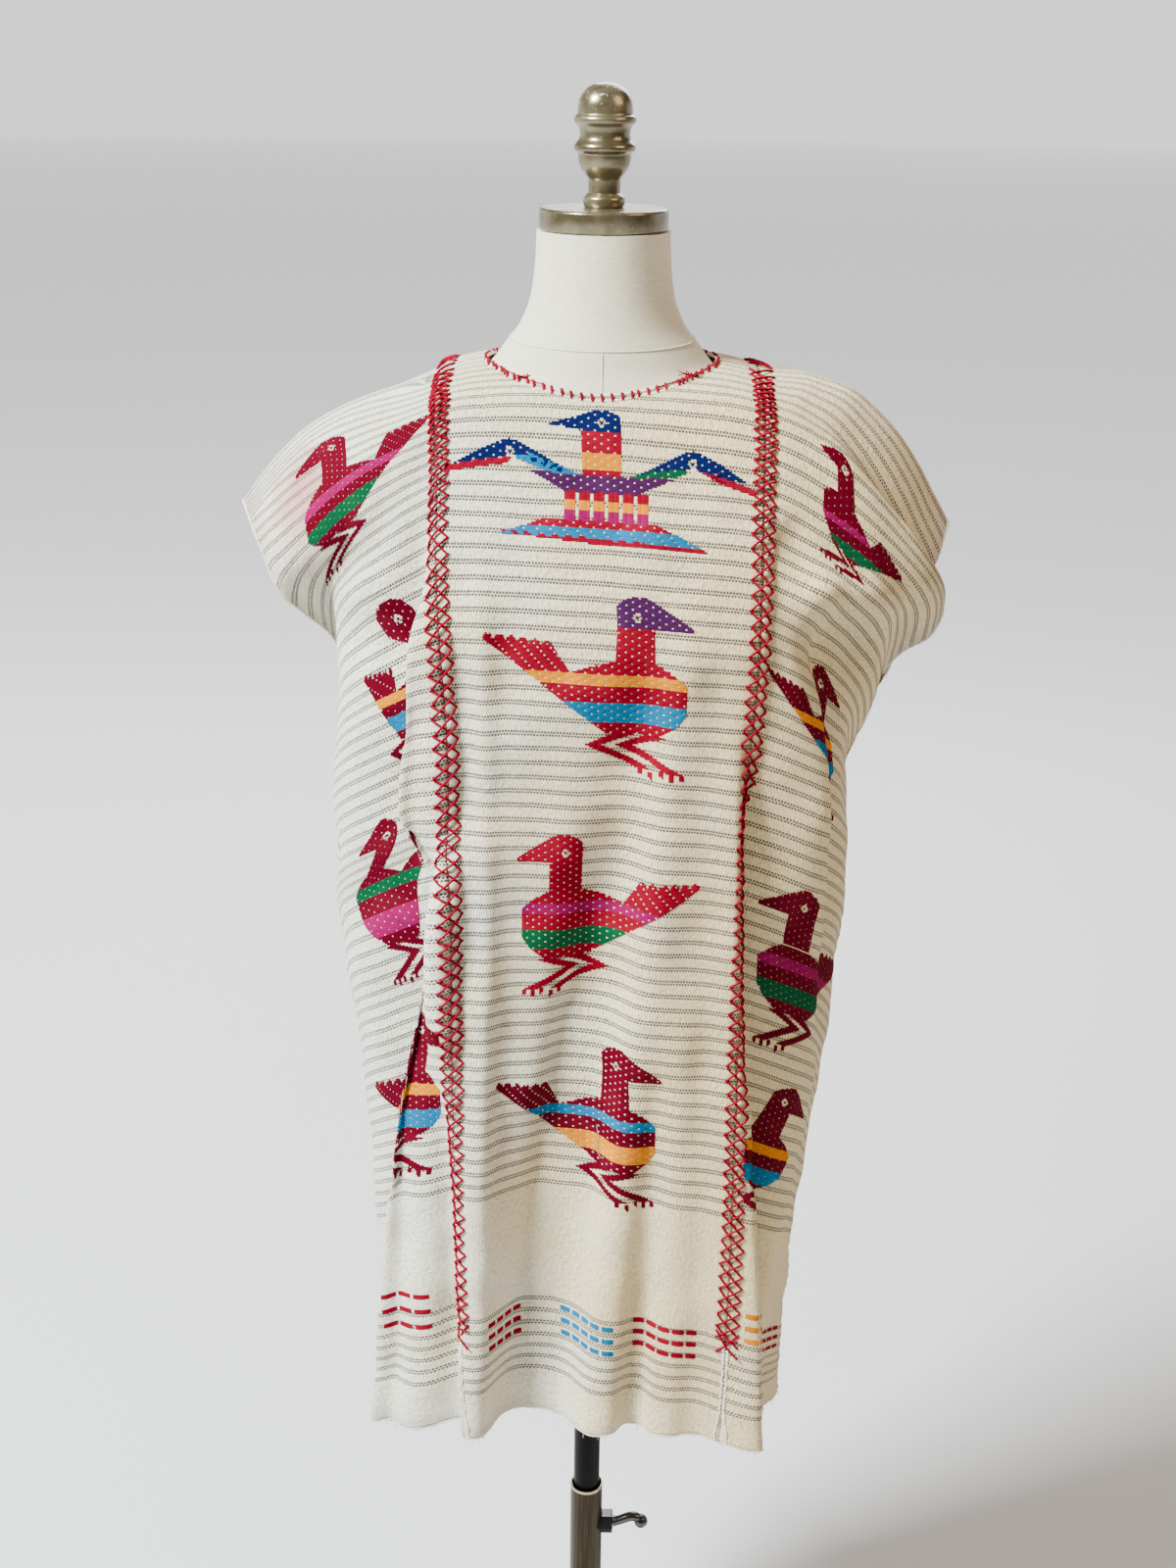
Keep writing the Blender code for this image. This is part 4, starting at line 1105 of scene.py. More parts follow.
@dataclass(frozen=True)
class Figure:
    """A figure's place on the cloth, in metres."""

    face: int
    shapes: tuple[Shape, ...]
    middle: float
    top: float
    width: float = 1.0
    height: float = 1.0
    lean: float = 0.0
    slide: float = 0.0
    to_right: bool = True
    shown: tuple[float, float] = (-1.0, 1.0)
    fleck: float = 0.0016

    def placed(self, x: float, y: float) -> tuple[float, float]:
        """A drawing point's distance across the cloth and its place among the weft rows."""
        across = (1 if self.to_right else -1) * self.width * x + self.lean * y
        return self.middle + across / 1000, self.top + (self.height * y - self.slide * x) / 1000


FloatRows = list[tuple[float, float, float, Yarn]]
# An eye's white ring: a row this near to the eye's middle leaves out these stretches of it.
EYE_GAPS = (
    (.0008, ((-.0036, -.0012), (.0012, .0036))),
    (.0020, ((-.0028, .0028),)),
    (.0034, ((-.0013, .0013),)))


@dataclass
class Brocade:
    """The woven figures and the short dashes above the hem, as raised floats of soft yarn."""

    drape: Drape
    row_pitch: float = 0.0015
    float_pitch: float = 0.0103
    shortest: float = 0.0008
    thick: float = 0.0006
    seat: float = 0.00058
    overlap: float = 1.22
    dash_pitch: float = 0.0115
    dash_gap: float = 0.0011
    yarns: tuple[Yarn, ...] = (Yarn.RED, Yarn.CRIMSON, Yarn.YELLOW, Yarn.BLUE, Yarn.NAVY, Yarn.PURPLE,
                               Yarn.MAGENTA, Yarn.GREEN)

    def __post_init__(self) -> None:
        """Make each yarn's material once."""
        self.finishes = [YarnFinish(yarn).make() for yarn in self.yarns]

    def template(self) -> bpy.types.Mesh:
        """One float, a unit across and down, with its ends drawn in and its middle raised."""
        bm = bmesh.new()
        bmesh.ops.create_grid(bm, x_segments=4, y_segments=2, size=.5)
        for vert in bm.verts:
            x, y = vert.co.x, vert.co.y
            ends = 1 - .15 * smooth((abs(x) - .25) / .25)
            vert.co = (x, y * float(ends), float((1 - (2 * x) ** 6 * .50) * (1 - (2 * y) ** 2 * .60)))
        return mesh_of(bm, 'float_template')

    def spans(self, outline: np.ndarray, y: float) -> list[tuple[float, float]]:
        """Where a weft row meets an outline."""
        start, end = outline, np.roll(outline, -1, axis=0)
        crossed = (start[:, 1] <= y) != (end[:, 1] <= y)
        a, b = start[crossed], end[crossed]
        x = np.sort(a[:, 0] + (y - a[:, 1]) / (b[:, 1] - a[:, 1]) * (b[:, 0] - a[:, 0]))
        return list(zip(x[::2], x[1::2]))

    def eye_cuts(self, left: float, right: float, dy: float, eye: float) -> list[tuple[float, float]]:
        """A row's float with the white ring of an eye left out of it."""
        kept = [(left, right)]
        for low, high in next((gaps for limit, gaps in EYE_GAPS if abs(dy) <= limit), ()):
            pieces = [piece for a, b in kept for piece in ((a, min(b, eye + low)), (max(a, eye + high), b))]
            kept = [(a, b) for a, b in pieces if b - a > self.shortest]
        return kept

    def weave(self, figure: Figure) -> FloatRows:
        """Work out a figure's floats: where each begins and ends, its row and its yarn."""
        made: FloatRows = []
        for shape in figure.shapes:
            outline = np.array([figure.placed(*point) for point in shape.outline])
            first = math.ceil(outline[:, 1].min() / self.row_pitch)
            last = math.floor(outline[:, 1].max() / self.row_pitch)
            for i in range(first, last + 1):
                made += self.weft_row(figure, shape, outline, i)
        return made

    def weft_row(self, figure: Figure, shape: Shape, outline: np.ndarray, i: int) -> FloatRows:
        """Work out one row of a shape's floats.

        Args:
            figure: The figure that the shape belongs to.
            shape: The shape.
            outline: The shape's outline on the cloth.
            i: The row's number.

        Returns:
            The row's floats.
        """
        v = i * self.row_pitch
        yarn = shape.yarn_at((v - figure.top) * 1000 / figure.height)
        shift = shape.lattice.value * (i // 2 if shape.lattice is Lattice.SLANT else i // 2 % 2)
        gap = figure.fleck / 2 if i % 2 and shape.lattice is not Lattice.CLOSE else 0.0
        made: FloatRows = []
        for left, right in self.spans(outline, v):
            left, right = max(left, figure.shown[0]), min(right, figure.shown[1])
            j = math.floor(left / self.float_pitch - shift)
            at = left
            while at < right:
                end = (j + 1 + shift) * self.float_pitch
                a, b = max(left, at), min(right, end)
                a += gap if a > left else 0.0
                b -= gap if b < right else 0.0
                cuts = [(a, b)]
                if shape.eye:
                    eye_s, eye_v = figure.placed(*shape.eye)
                    cuts = self.eye_cuts(a, b, v - round(eye_v / self.row_pitch) * self.row_pitch, eye_s)
                made += [(c, d, v, yarn) for c, d in cuts if d - c > self.shortest]
                at = end
                j += 1
        return made

    def dashes(self, left: float, right: float, top: float, apart: float, yarn: Yarn) -> FloatRows:
        """Three rows of short dashes, each three floats thick."""
        count = max(2, round((right - left) / self.dash_pitch))
        pitch = (right - left) / count
        return [(left + pitch * i + self.dash_gap, left + pitch * (i + 1) - self.dash_gap,
                 top + apart * row + lift, yarn)
                for row in range(3) for i in range(count) for lift in (-self.row_pitch, 0, self.row_pitch)]

    def build(self, name: str, face: int, floats: FloatRows, low: float, high: float) -> None:
        """Lay floats on the cloth as one piece, cut off at the panel's edges."""
        floats = [(max(a, low), min(b, high), v, yarn) for a, b, v, yarn in floats
                  if min(b, high) - max(a, low) > self.shortest]
        template = self.template()
        unit = np.array([vert.co for vert in template.vertices])
        ends = np.array([(a, b, v) for a, b, v, _ in floats])
        s = (ends[:, 0] + ends[:, 1])[:, None] / 2 + (ends[:, 1] - ends[:, 0])[:, None] * unit[None, :, 0]
        v = ends[:, 2][:, None] + unit[None, :, 1] * self.row_pitch * self.overlap
        t = v + (row_droop(v, s) if face == FRONT_FACE else 0)
        places = self.drape.at(face, t, s, self.seat + unit[None, :, 2] * self.thick)
        slots = np.array([self.yarns.index(yarn) for *_, yarn in floats])
        mesh = joined_copies(name, template, places, np.stack([s, v], -1), slots)
        first = face, ends[:1, 2], ends[:1, 0]
        outward = self.drape.at(*first, 1.0) - self.drape.at(*first)
        if Vector(outward[0]).dot(mesh.polygons[5].normal) < 0:
            mesh.flip_normals()
        bpy.data.meshes.remove(template)
        publish(name, mesh, self.finishes, 'form')


def dark_bird(first: Yarn, second: Yarn, fan: float = 0.0) -> tuple[Shape, ...]:
    """A crimson bird with two bands."""
    return bird(Yarn.CRIMSON, Yarn.CRIMSON, first, second, fan)


def side_figure(shapes: tuple[Shape, ...], *place: float, **more: object) -> Figure:
    """A figure on the front of a side panel, whose flecks are finer."""
    return Figure(FRONT_FACE, shapes, *place, fleck=.0008, **more)


def figures() -> tuple[Figure, ...]:
    """Every figure on the cloth, front and back."""
    red, yellow, blue, magenta, green = Yarn.RED, Yarn.YELLOW, Yarn.BLUE, Yarn.MAGENTA, Yarn.GREEN
    return (
        Figure(FRONT_FACE, three_headed_bird(), 0.0, .102),
        Figure(FRONT_FACE, bird(Yarn.PURPLE, red, yellow, blue), -.002, .241),
        Figure(FRONT_FACE, bird(red, red, magenta, green), .004, .436, .92, to_right=False),
        Figure(FRONT_FACE, dark_bird(blue, yellow), -.007, .625, .89),
        side_figure(dark_bird(magenta, green, 13), -.209, .053, .84, .86, to_right=False),
        side_figure(hidden_neck_bird(Yarn.CRIMSON), -.227, .227, .90),
        side_figure(dark_bird(yellow, blue)[2:], -.194, .238, .46, .88, -.20, shown=(-1.0, -.164)),
        side_figure(dark_bird(green, magenta), -.212, .396, .56, 1.04, .12, to_right=False),
        side_figure(dark_bird(yellow, blue), -.186, .592, .90, 1.05, -.25),
        side_figure(dark_bird(magenta, green), .210, .101, .48, .64, slide=.25, to_right=False),
        side_figure(dark_bird(yellow, blue), .187, .259, .62, .80, .10),
        side_figure(dark_bird(magenta, green), .223, .453, .87, 1.05, -.05, to_right=False),
        side_figure(dark_bird(yellow, blue), .173, .633, .94, .90, -.33),
        Figure(BACK_FACE, three_headed_bird(), 0.0, .102),
        Figure(BACK_FACE, dark_bird(magenta, green), .002, .241, .95, to_right=False),
        Figure(BACK_FACE, bird(red, red, yellow, blue), -.004, .436, .92),
        Figure(BACK_FACE, bird(red, red, green, yellow), .006, .625, .90, to_right=False),
        Figure(BACK_FACE, dark_bird(yellow, blue), -.228, .060, .80),
        Figure(BACK_FACE, dark_bird(magenta, green), -.216, .240, .84, to_right=False),
        Figure(BACK_FACE, dark_bird(blue, yellow), -.220, .430, .84),
        Figure(BACK_FACE, dark_bird(green, magenta), -.220, .615, .84, to_right=False),
        Figure(BACK_FACE, dark_bird(yellow, blue), .222, .060, .80, to_right=False),
        Figure(BACK_FACE, dark_bird(green, magenta), .216, .240, .84),
        Figure(BACK_FACE, dark_bird(yellow, green), .220, .430, .84, to_right=False),
        Figure(BACK_FACE, dark_bird(magenta, blue), .220, .615, .84))


# The stretch of each panel that its figures keep to.
STRIPS = {'left': (-.3230, -.1345), 'centre': (-.1190, .1190), 'right': (.1345, .3230)}
# face, left, right, top, how far apart the rows are, yarn
HEM_DASHES = (
    (FRONT_FACE, -.206, -.166, .861, .016, Yarn.RED),
    (FRONT_FACE, -.100, -.058, .889, .012, Yarn.RED),
    (FRONT_FACE, -.030, .023, .887, .012, Yarn.BLUE),
    (FRONT_FACE, .040, .100, .882, .012, Yarn.RED),
    (FRONT_FACE, .138, .176, .850, .012, Yarn.YELLOW),
    (FRONT_FACE, -.290, -.250, .880, .012, Yarn.BLUE),
    (FRONT_FACE, .240, .290, .880, .012, Yarn.RED),
    (BACK_FACE, -.098, -.050, .880, .012, Yarn.RED),
    (BACK_FACE, -.026, .026, .880, .012, Yarn.GREEN),
    (BACK_FACE, .050, .098, .880, .012, Yarn.RED),
    (BACK_FACE, -.270, -.210, .880, .012, Yarn.YELLOW),
    (BACK_FACE, .190, .250, .880, .012, Yarn.BLUE))


# ---------------------------------------------------------------- the garment
@dataclass
class Panel:
    """One loom-woven strip as a thin sheet, folded over the shoulder."""

    drape: Drape
    name: str
    left: float
    right: float
    has_neck: bool = False
    cell: float = 0.0035
    down_cells: int = 220
    wall: float = 0.0011

    def stations(self) -> np.ndarray:
        """Distances across, with one station on each side of the neck hole's ends."""
        if not self.has_neck:
            return np.linspace(self.left, self.right, round((self.right - self.left) / self.cell) + 1)
        inner = np.linspace(0, NECK_HALF, 29)
        outer = np.linspace(NECK_HALF, self.right, 11)[1:]
        half = np.concatenate([inner, outer])
        return np.concatenate([-half[:0:-1], half])

    def grid(self, bm: bmesh.types.BMesh, layer: bmesh.types.BMLayerItem, face: int) -> None:
        """Add one face of the strip, hung on the drape, with its map."""
        across = self.stations()
        made = bmesh.ops.create_grid(bm, x_segments=len(across) - 1, y_segments=self.down_cells, size=1.0)
        verts = made['verts']
        flat = np.array([vert.co[:2] for vert in verts])
        s = across[np.rint((flat[:, 0] + 1) / 2 * (len(across) - 1)).astype(int)]
        run = (1 - flat[:, 1]) / 2
        top = self.drape.neck_edge(face, s) if self.has_neck else np.zeros(len(s))
        t = top + (LENGTH - top) * run
        places = self.drape.at(face, t, s)
        v = t - row_droop(t, s) if face == FRONT_FACE else -t
        chart = dict(zip(verts, zip(s, v)))
        for vert, place in zip(verts, places):
            vert.co = place
        faces = {item for vert in verts for item in vert.link_faces}
        for item in faces:
            for loop in item.loops:
                loop[layer].uv = chart[loop.vert]
        if face == BACK_FACE:
            bmesh.ops.reverse_faces(bm, faces=list(faces))

    def build(self, finish: bpy.types.Material) -> bpy.types.Object:
        """Make the strip, join its faces over the shoulder and down the side, and give it a wall."""
        bm = bmesh.new()
        layer = bm.loops.layers.uv.new('cloth')
        self.grid(bm, layer, FRONT_FACE)
        self.grid(bm, layer, BACK_FACE)
        bmesh.ops.remove_doubles(bm, verts=bm.verts, dist=2e-5)
        piece = publish(self.name, mesh_of(bm, self.name), [finish], 'form',
                        (self.name.replace('cloth_', '') + '_panel',))
        wall = piece.modifiers.new('Cloth', 'SOLIDIFY')
        wall.thickness = self.wall
        wall.offset = 0
        return piece


SEAMS = tuple((face, middle) for middle in (-HALF_CENTRE, HALF_CENTRE) for face in (FRONT_FACE, BACK_FACE))
SEAM_ENDS = {-HALF_CENTRE: .882, HALF_CENTRE: .889}     # where each seam's herringbone ends
KNOT_AT = .889                                          # the knots that end the herringbone
SLIP_FROM, SLIP_TO, SLIP_PITCH = .897, .968, .0042      # the slip stitches below it
SEAM_GAP = .0004                                        # each panel's edge stands this far from its seam
Edge = tuple[int, np.ndarray, np.ndarray, float, float]


@dataclass
class Needlework:
    """The herringbone seams, the neck's overcast edge, the hem and the sewn sides."""

    drape: Drape
    yarn_radius: float = 0.00098
    seam_half: float = 0.0094
    seed: int = 11

    def __post_init__(self) -> None:
        """Start the repeatable unevenness."""
        self.random = np.random.RandomState(self.seed)

    def sew(self, name: str, paths: list[np.ndarray], radius: float, finish: bpy.types.Material,
            sides: int = 1) -> None:
        """Publish threads that follow paths, as one piece on the form."""
        publish(name, round_threads(name, paths, radius, sides), [finish], 'form')

    def seam_paths(self, face: int, middle: float, last: float) -> list[np.ndarray]:
        """Closed herringbone down a seam: every stitch crosses it and falls one and a half pitches."""
        levels = [.004]
        while levels[-1] < last + .02:
            t = levels[-1]
            step = .0076 + .0044 * float(smooth((t - .11) / .10)) + .0110 * float(1 - smooth(t / .07))
            levels.append(t + step)
        count = len(levels)
        paths = []
        for k in np.arange(0, count - 2, .5):
            side = -1 if k % 1 else 1
            start, end = (np.interp([k, k + 1.5], np.arange(count), levels)
                          + self.random.uniform(-.0007, .0007, 2))
            if end > last + .004:
                continue
            wide, across = self.seam_half * self.random.uniform(.86, 1.10, 2)
            u = np.linspace(0, 1, 7)
            t = start + (end - start) * u + self.random.uniform(-.0011, .0011) * np.sin(math.pi * u)
            s = middle + side * (wide - (wide + across) * u)
            lift = .0010 + (.0011 + .0010 * (side > 0)) * np.sin(math.pi * u) ** .7
            paths.append(self.drape.at(face, np.clip(t, 0, LENGTH), s, lift))
        return paths

    def knot(self, face: int, middle: float) -> list[np.ndarray]:
        """The crossed stitches and the cut end that finish a seam's herringbone."""
        down, across = KNOT_AT + np.array([-.012, .003, .012]), np.array([-.009, 0, .009])
        crossed = [self.drape.at(face, down, middle + across * flip, .0024 + .0008 * flip)
                   for flip in (1, -1)]
        end = self.drape.at(face, KNOT_AT - np.array([.004, .006]), middle + np.array([-.002, .009]), .0030)
        return [*crossed, end]

    def seams(self, finish: bpy.types.Material) -> None:
        """Herringbone stitching over both panel seams, front and back."""
        for name, middle in (('seam_left', -HALF_CENTRE), ('seam_right', HALF_CENTRE)):
            paths = []
            for face in (FRONT_FACE, BACK_FACE):
                paths += self.seam_paths(face, middle, SEAM_ENDS[middle]) + self.knot(face, middle)
            self.sew(name, paths, self.yarn_radius, finish)

    def slip_stitches(self, finish: bpy.types.Material) -> None:
        """Small cream stitches that close the panel seams below the herringbone."""
        across, lift = np.array([-.0015, 0, .0015]), np.array([.0004, .0010, .0004])
        paths = []
        for face, middle in SEAMS:
            for t in np.arange(SLIP_FROM, SLIP_TO, SLIP_PITCH):
                skew = self.random.uniform(.0006, .0016)
                paths.append(self.drape.at(face, t + skew * np.arange(3), middle + across, lift))
        self.sew('slip_stitches', paths, .00035, finish)

    def selvedges(self, finish: bpy.types.Material) -> None:
        """The panels' firm edges, which part a little at the hem."""
        t = np.linspace(.890, LENGTH - .0008, 44)
        paths = []
        for face, middle in SEAMS:
            for side in (-1, 1):
                part = .0017 + .0030 * smooth((t - .958) / .03) + .0004 * np.sin(t * 640 + side)
                lift = .0006 + .0004 * np.sin(t * 410 + side)
                paths.append(self.drape.at(face, t, middle + side * part, lift))
        self.sew('panel_selvedges', paths, .00105, finish)

    def neck_path(self, steps: int = 220) -> tuple[np.ndarray, np.ndarray, np.ndarray]:
        """Faces, distances across and depths of points all round the neck hole."""
        turn = np.linspace(0, 2 * math.pi, steps, endpoint=False)
        s = NECK_HALF * np.cos(turn)
        face = np.where(np.sin(turn) >= 0, FRONT_FACE, BACK_FACE)
        t = np.where(face == FRONT_FACE, self.drape.neck_edge(FRONT_FACE, s),
                     self.drape.neck_edge(BACK_FACE, s))
        return face, s, t

    def around_neck(self, extra: float, lift: float) -> np.ndarray:
        """A closed line round the neck hole, some way down the cloth and above it."""
        face, s, t = self.neck_path()
        front = self.drape.at(FRONT_FACE, np.clip(t + extra, 0, LENGTH), s, lift)
        back = self.drape.at(BACK_FACE, np.clip(t + extra, 0, LENGTH), s, lift)
        line = np.where((face == FRONT_FACE)[:, None], front, back)
        for _ in range(2):
            line = (np.roll(line, 1, 0) + 2 * line + np.roll(line, -1, 0)) / 4
        return np.vstack([line, line[:2]])

    def neck(self, cloth: bpy.types.Material, red: bpy.types.Material) -> None:
        """The rolled neck edge and its red overcasting."""
        roll = self.around_neck(0.0, .0004)
        self.sew('neck_roll', [roll], .0016, cloth, 3)
        self.sew('neck_hem_edge', [self.around_neck(.0062, .0004)], .0009, cloth)
        length = np.concatenate([[0], np.cumsum(np.linalg.norm(np.diff(roll[:-1], axis=0), axis=1))])
        paths = []
        place = .004
        while place < length[-1] - .004:
            i = int(np.searchsorted(length, place))
            ahead = roll[i] - roll[max(i - 1, 0)]
            side = abs(roll[i][0]) > .062
            paths.append(self.stitch(ahead / np.linalg.norm(ahead), i, side))
            place += self.random.uniform(.0050, .0066) if side else self.random.uniform(.0070, .0086)
        self.sew('neck_overcast', paths, .00115, red, 2)
        inner = self.around_neck(.0008, .0019)
        along = [inner[part] for part in (slice(0, 40), slice(72, 112), slice(112, 150), slice(182, 221))]
        self.sew('neck_running_thread', along, .0006, red)

    def stitch(self, ahead: np.ndarray, index: int, long: bool) -> np.ndarray:
        """One overcast stitch, from the cloth over the rolled edge to the inside.

        Args:
            ahead: The way along the edge.
            index: The stitch's place among the neck's points.
            long: Whether it is one of the longer stitches at the sides.

        Returns:
            The stitch's path.
        """
        faces, across, depths = self.neck_path()
        i = index % len(across)
        face, s, t = int(faces[i]), across[i], depths[i]
        reach = .0078 if long else .0068
        down = np.clip(t + np.array([reach, reach * .55, .0004]), 0, LENGTH)
        aside = np.full(3, s + self.random.uniform(-.001, .001))
        line = self.drape.at(face, down, aside, np.array([.0006, .0016, .0024]))
        inner = self.drape.at(face, np.clip(np.array([t + .0004]), 0, LENGTH), np.array([s]),
                              np.array([-.0016]))
        over = (line[2] + inner[0]) / 2 + (line[2] - line[1]) * .45
        slope = np.array([-.0006, 0, .0004, .0008, .0008])
        return np.vstack([line, over, inner]) + ahead * slope[:, None]

    def tufts(self, red: bpy.types.Material) -> None:
        """Two knots of cut yarn ends on the neck edge."""
        paths = []
        for s, spread in ((-.058, .0070), (.068, .0100)):
            t = float(self.drape.neck_edge(FRONT_FACE, np.array([s]))[0])
            for _ in range(12):
                ds, dt = self.random.uniform(-spread, spread), self.random.uniform(-.0045, .0025)
                lift = np.array([.0018, .0040, .0030 + self.random.uniform(0, .002)])
                paths.append(self.drape.at(FRONT_FACE, np.array([t, t + dt * .5, t + dt]),
                                           s + np.array([0, ds * .55, ds]), lift))
        self.sew('neck_tufts', paths, .00045, red)

    def frays(self, name: str, edges: list[Edge], count: int, length: tuple[float, float],
              finish: bpy.types.Material) -> None:
        """Short loose fibres standing off a raw edge.

        Args:
            name: The piece's name.
            edges: For each edge its face, its depths, its distances across, and the way off it.
            count: Fibres on each edge.
            length: Shortest and longest fibre.
            finish: Their material.
        """
        steps = np.linspace(0, 1, 4)[:, None]
        paths = []
        for face, t, s, dt, ds in edges:
            for _ in range(count):
                i = self.random.randint(len(t))
                size = self.random.uniform(*length)
                start = self.drape.at(face, t[i:i + 1], s[i:i + 1])[0]
                way = start - self.drape.at(face, t[i:i + 1] - dt * .004, s[i:i + 1] - ds * .004)[0]
                way = way / (np.linalg.norm(way) + 1e-9) + self.random.uniform(-.55, .55, 3)
                bend = self.random.uniform(-.3, .3, 3)
                paths.append(start + size * (way * steps + bend * steps ** 2))
        self.sew(name, paths, .00018, finish, 0)

    def edges(self, cloth: bpy.types.Material, loose: bpy.types.Material) -> None:
        """Rolled hem and sleeve edges with their loose fibres, and the stitching up the sides."""
        half, near, off = HALF_CENTRE + SIDE_WIDTH, HALF_CENTRE - SEAM_GAP, HALF_CENTRE + SEAM_GAP
        spans = ((-half, -off), (-near, near), (off, half))
        hem, sleeves, sides, hem_edges, sleeve_edges = [], [], [], [], []
        for face in (FRONT_FACE, BACK_FACE):
            for low, high in spans:
                s = np.linspace(low, high, round((high - low) / .003))
                hem.append(self.drape.at(face, np.full(len(s), LENGTH - .0006) + .0004 * np.sin(s * 320), s))
                hem_edges.append((face, np.full(len(s), LENGTH), s, 1.0, 0.0))
            for side in (-1, 1):
                t = np.linspace(0, ARMHOLE, 60)
                s = np.full(60, side * (half - .0006))
                sleeves.append(self.drape.at(face, t, s, .0004 * np.sin(t * 900)))
                sleeve_edges.append((face, t, s, 0.0, float(side)))
                for t in np.arange(ARMHOLE + .004, LENGTH - .02, .0075):
                    sides.append(self.drape.at(face, np.array([t, t + .0022, t + .0044]),
                                               np.full(3, side * (half - SIDE_STITCH)),
                                               np.array([.0, .0008, .0])))
        self.sew('hem_roll', hem, .0009, cloth, 2)
        self.sew('sleeve_rolls', sleeves, .0013, cloth, 2)
        self.sew('side_stitches', sides, .0004, cloth)
        self.frays('hem_frays', hem_edges, 36, (.0020, .0060), loose)
        self.frays('sleeve_frays', sleeve_edges, 60, (.0010, .0030), cloth)

    def loose_ends(self, grey: bpy.types.Material, red: bpy.types.Material) -> None:
        """A loose strand on the lowest bird, and cut ends at a wing."""
        strand = self.drape.at(FRONT_FACE, np.array([.700, .706, .714, .722, .729]),
                               np.array([.004, .0062, .0050, .0052, .0095]),
                               np.array([.0016, .003, .0034, .003, .0016]))
        self.sew('loose_strand', [strand], .0004, grey)
        lift = np.array([.0012, .0024, .0020])
        ends = []
        for _ in range(10):
            ds, dt = self.random.uniform(-.006, .008), self.random.uniform(-.006, .006)
            ends.append(self.drape.at(FRONT_FACE, .150 + np.array([0, dt * .6, dt]),
                                      .087 + np.array([0, ds * .5, ds]), lift))
        self.sew('wing_yarn_ends', ends, .0003, red)


@dataclass
class Garment:
    """The whole blouse: three panels, their figures and their needlework."""

    drape: Drape = field(default_factory=Drape)

    def build(self) -> None:
        """Make every piece of the blouse."""
        cotton = WovenCotton().make()
        red, cream, grey = (CordFinish(yarn).make() for yarn in (Yarn.RED, Yarn.CREAM, Yarn.GREY))
        half, near, off = HALF_CENTRE + SIDE_WIDTH, HALF_CENTRE - SEAM_GAP, HALF_CENTRE + SEAM_GAP
        centre = Panel(self.drape, 'cloth_centre', -near, near, True).build(cotton)
        left = Panel(self.drape, 'cloth_left', -half, -off).build(cotton)
        right = Panel(self.drape, 'cloth_right', off, half).build(cotton)
        work = Needlework(self.drape)
        work.seams(red)
        work.slip_stitches(cream)
        work.selvedges(cream)
        work.neck(cream, red)
        work.tufts(red)
        work.edges(cream, grey)
        work.loose_ends(grey, red)
        self.brocade()

    def brocade(self) -> None:
        """Weave the figures and the hem dashes, a piece for each panel's face."""
        work = Brocade(self.drape)
        for face, place in ((FRONT_FACE, 'front'), (BACK_FACE, 'back')):
            for name, (low, high) in STRIPS.items():
                floats: FloatRows = []
                for figure in figures():
                    if figure.face == face and low < figure.middle < high:
                        floats += work.weave(figure)
                for where, left, right, top, apart, yarn in HEM_DASHES:
                    if where == face and low < (left + right) / 2 < high:
                        floats += work.dashes(left, right, top, apart, yarn)
                work.build(f'figures_{name}_{place}', face, floats, low, high)


# ---------------------------------------------------------------- the dress form and its stand
TORSO_COLUMNS = ('z', 'half', 'front', 'back')
TORSO = (
    (1.5597, .0525, .0525, .0525),
    (1.5450, .0530, .0530, .0525),
    (1.5305, .0540, .0535, .0525),
    (1.5150, .0560, .0545, .0530),
    (1.5030, .0590, .0555, .0535),
    (1.4875, .0660, .0575, .0545),
    (1.4720, .0780, .0605, .0555),
    (1.4610, .0860, .0620, .0560),
    (1.4530, .0950, .0640, .0570),
    (1.4400, .1230, .0690, .0600),
    (1.4250, .1500, .0720, .0660),
    (1.4000, .1760, .0800, .0760),
    (1.3600, .1880, .0900, .0860),
    (1.3000, .1800, .1050, .0940),
    (1.2200, .1600, .1260, .0920),
    (1.1300, .1380, .1080, .0880),
    (1.0400, .1200, .0920, .0800),
    (0.9500, .1400, .0980, .0880),
    (0.8700, .1540, .1040, .0940),
    (0.8200, .1520, .1020, .0920),
    (0.8000, .1460, .0970, .0870))
# Height above the cap and radius: the turned acorn, then its foot.
FINIAL = (
    (.0920, .0000), (.0912, .0070), (.0885, .0130), (.0840, .0178), (.0780, .0206), (.0720, .0214),
    (.0690, .0216), (.0672, .0234), (.0650, .0241), (.0628, .0234), (.0600, .0208), (.0570, .0197),
    (.0540, .0195), (.0505, .0204), (.0470, .0232), (.0445, .0240), (.0422, .0232), (.0400, .0208),
    (.0360, .0204), (.0310, .0192), (.0265, .0168), (.0228, .0138), (.0210, .0128), (.0205, .0126))
FINIAL_FOOT = (
    (.0110, .0126), (.0090, .0148), (.0070, .0162), (.0045, .0164), (.0020, .0160), (.0003, .0152))
# The clamp lever's arm: how far from the pole's axis and how far above the clamp's.
LEVER = (
    (.0272, .0000), (.0296, .0001), (.0340, .0016), (.0390, .0038), (.0440, .0056), (.0480, .0058),
    (.0515, .0044))


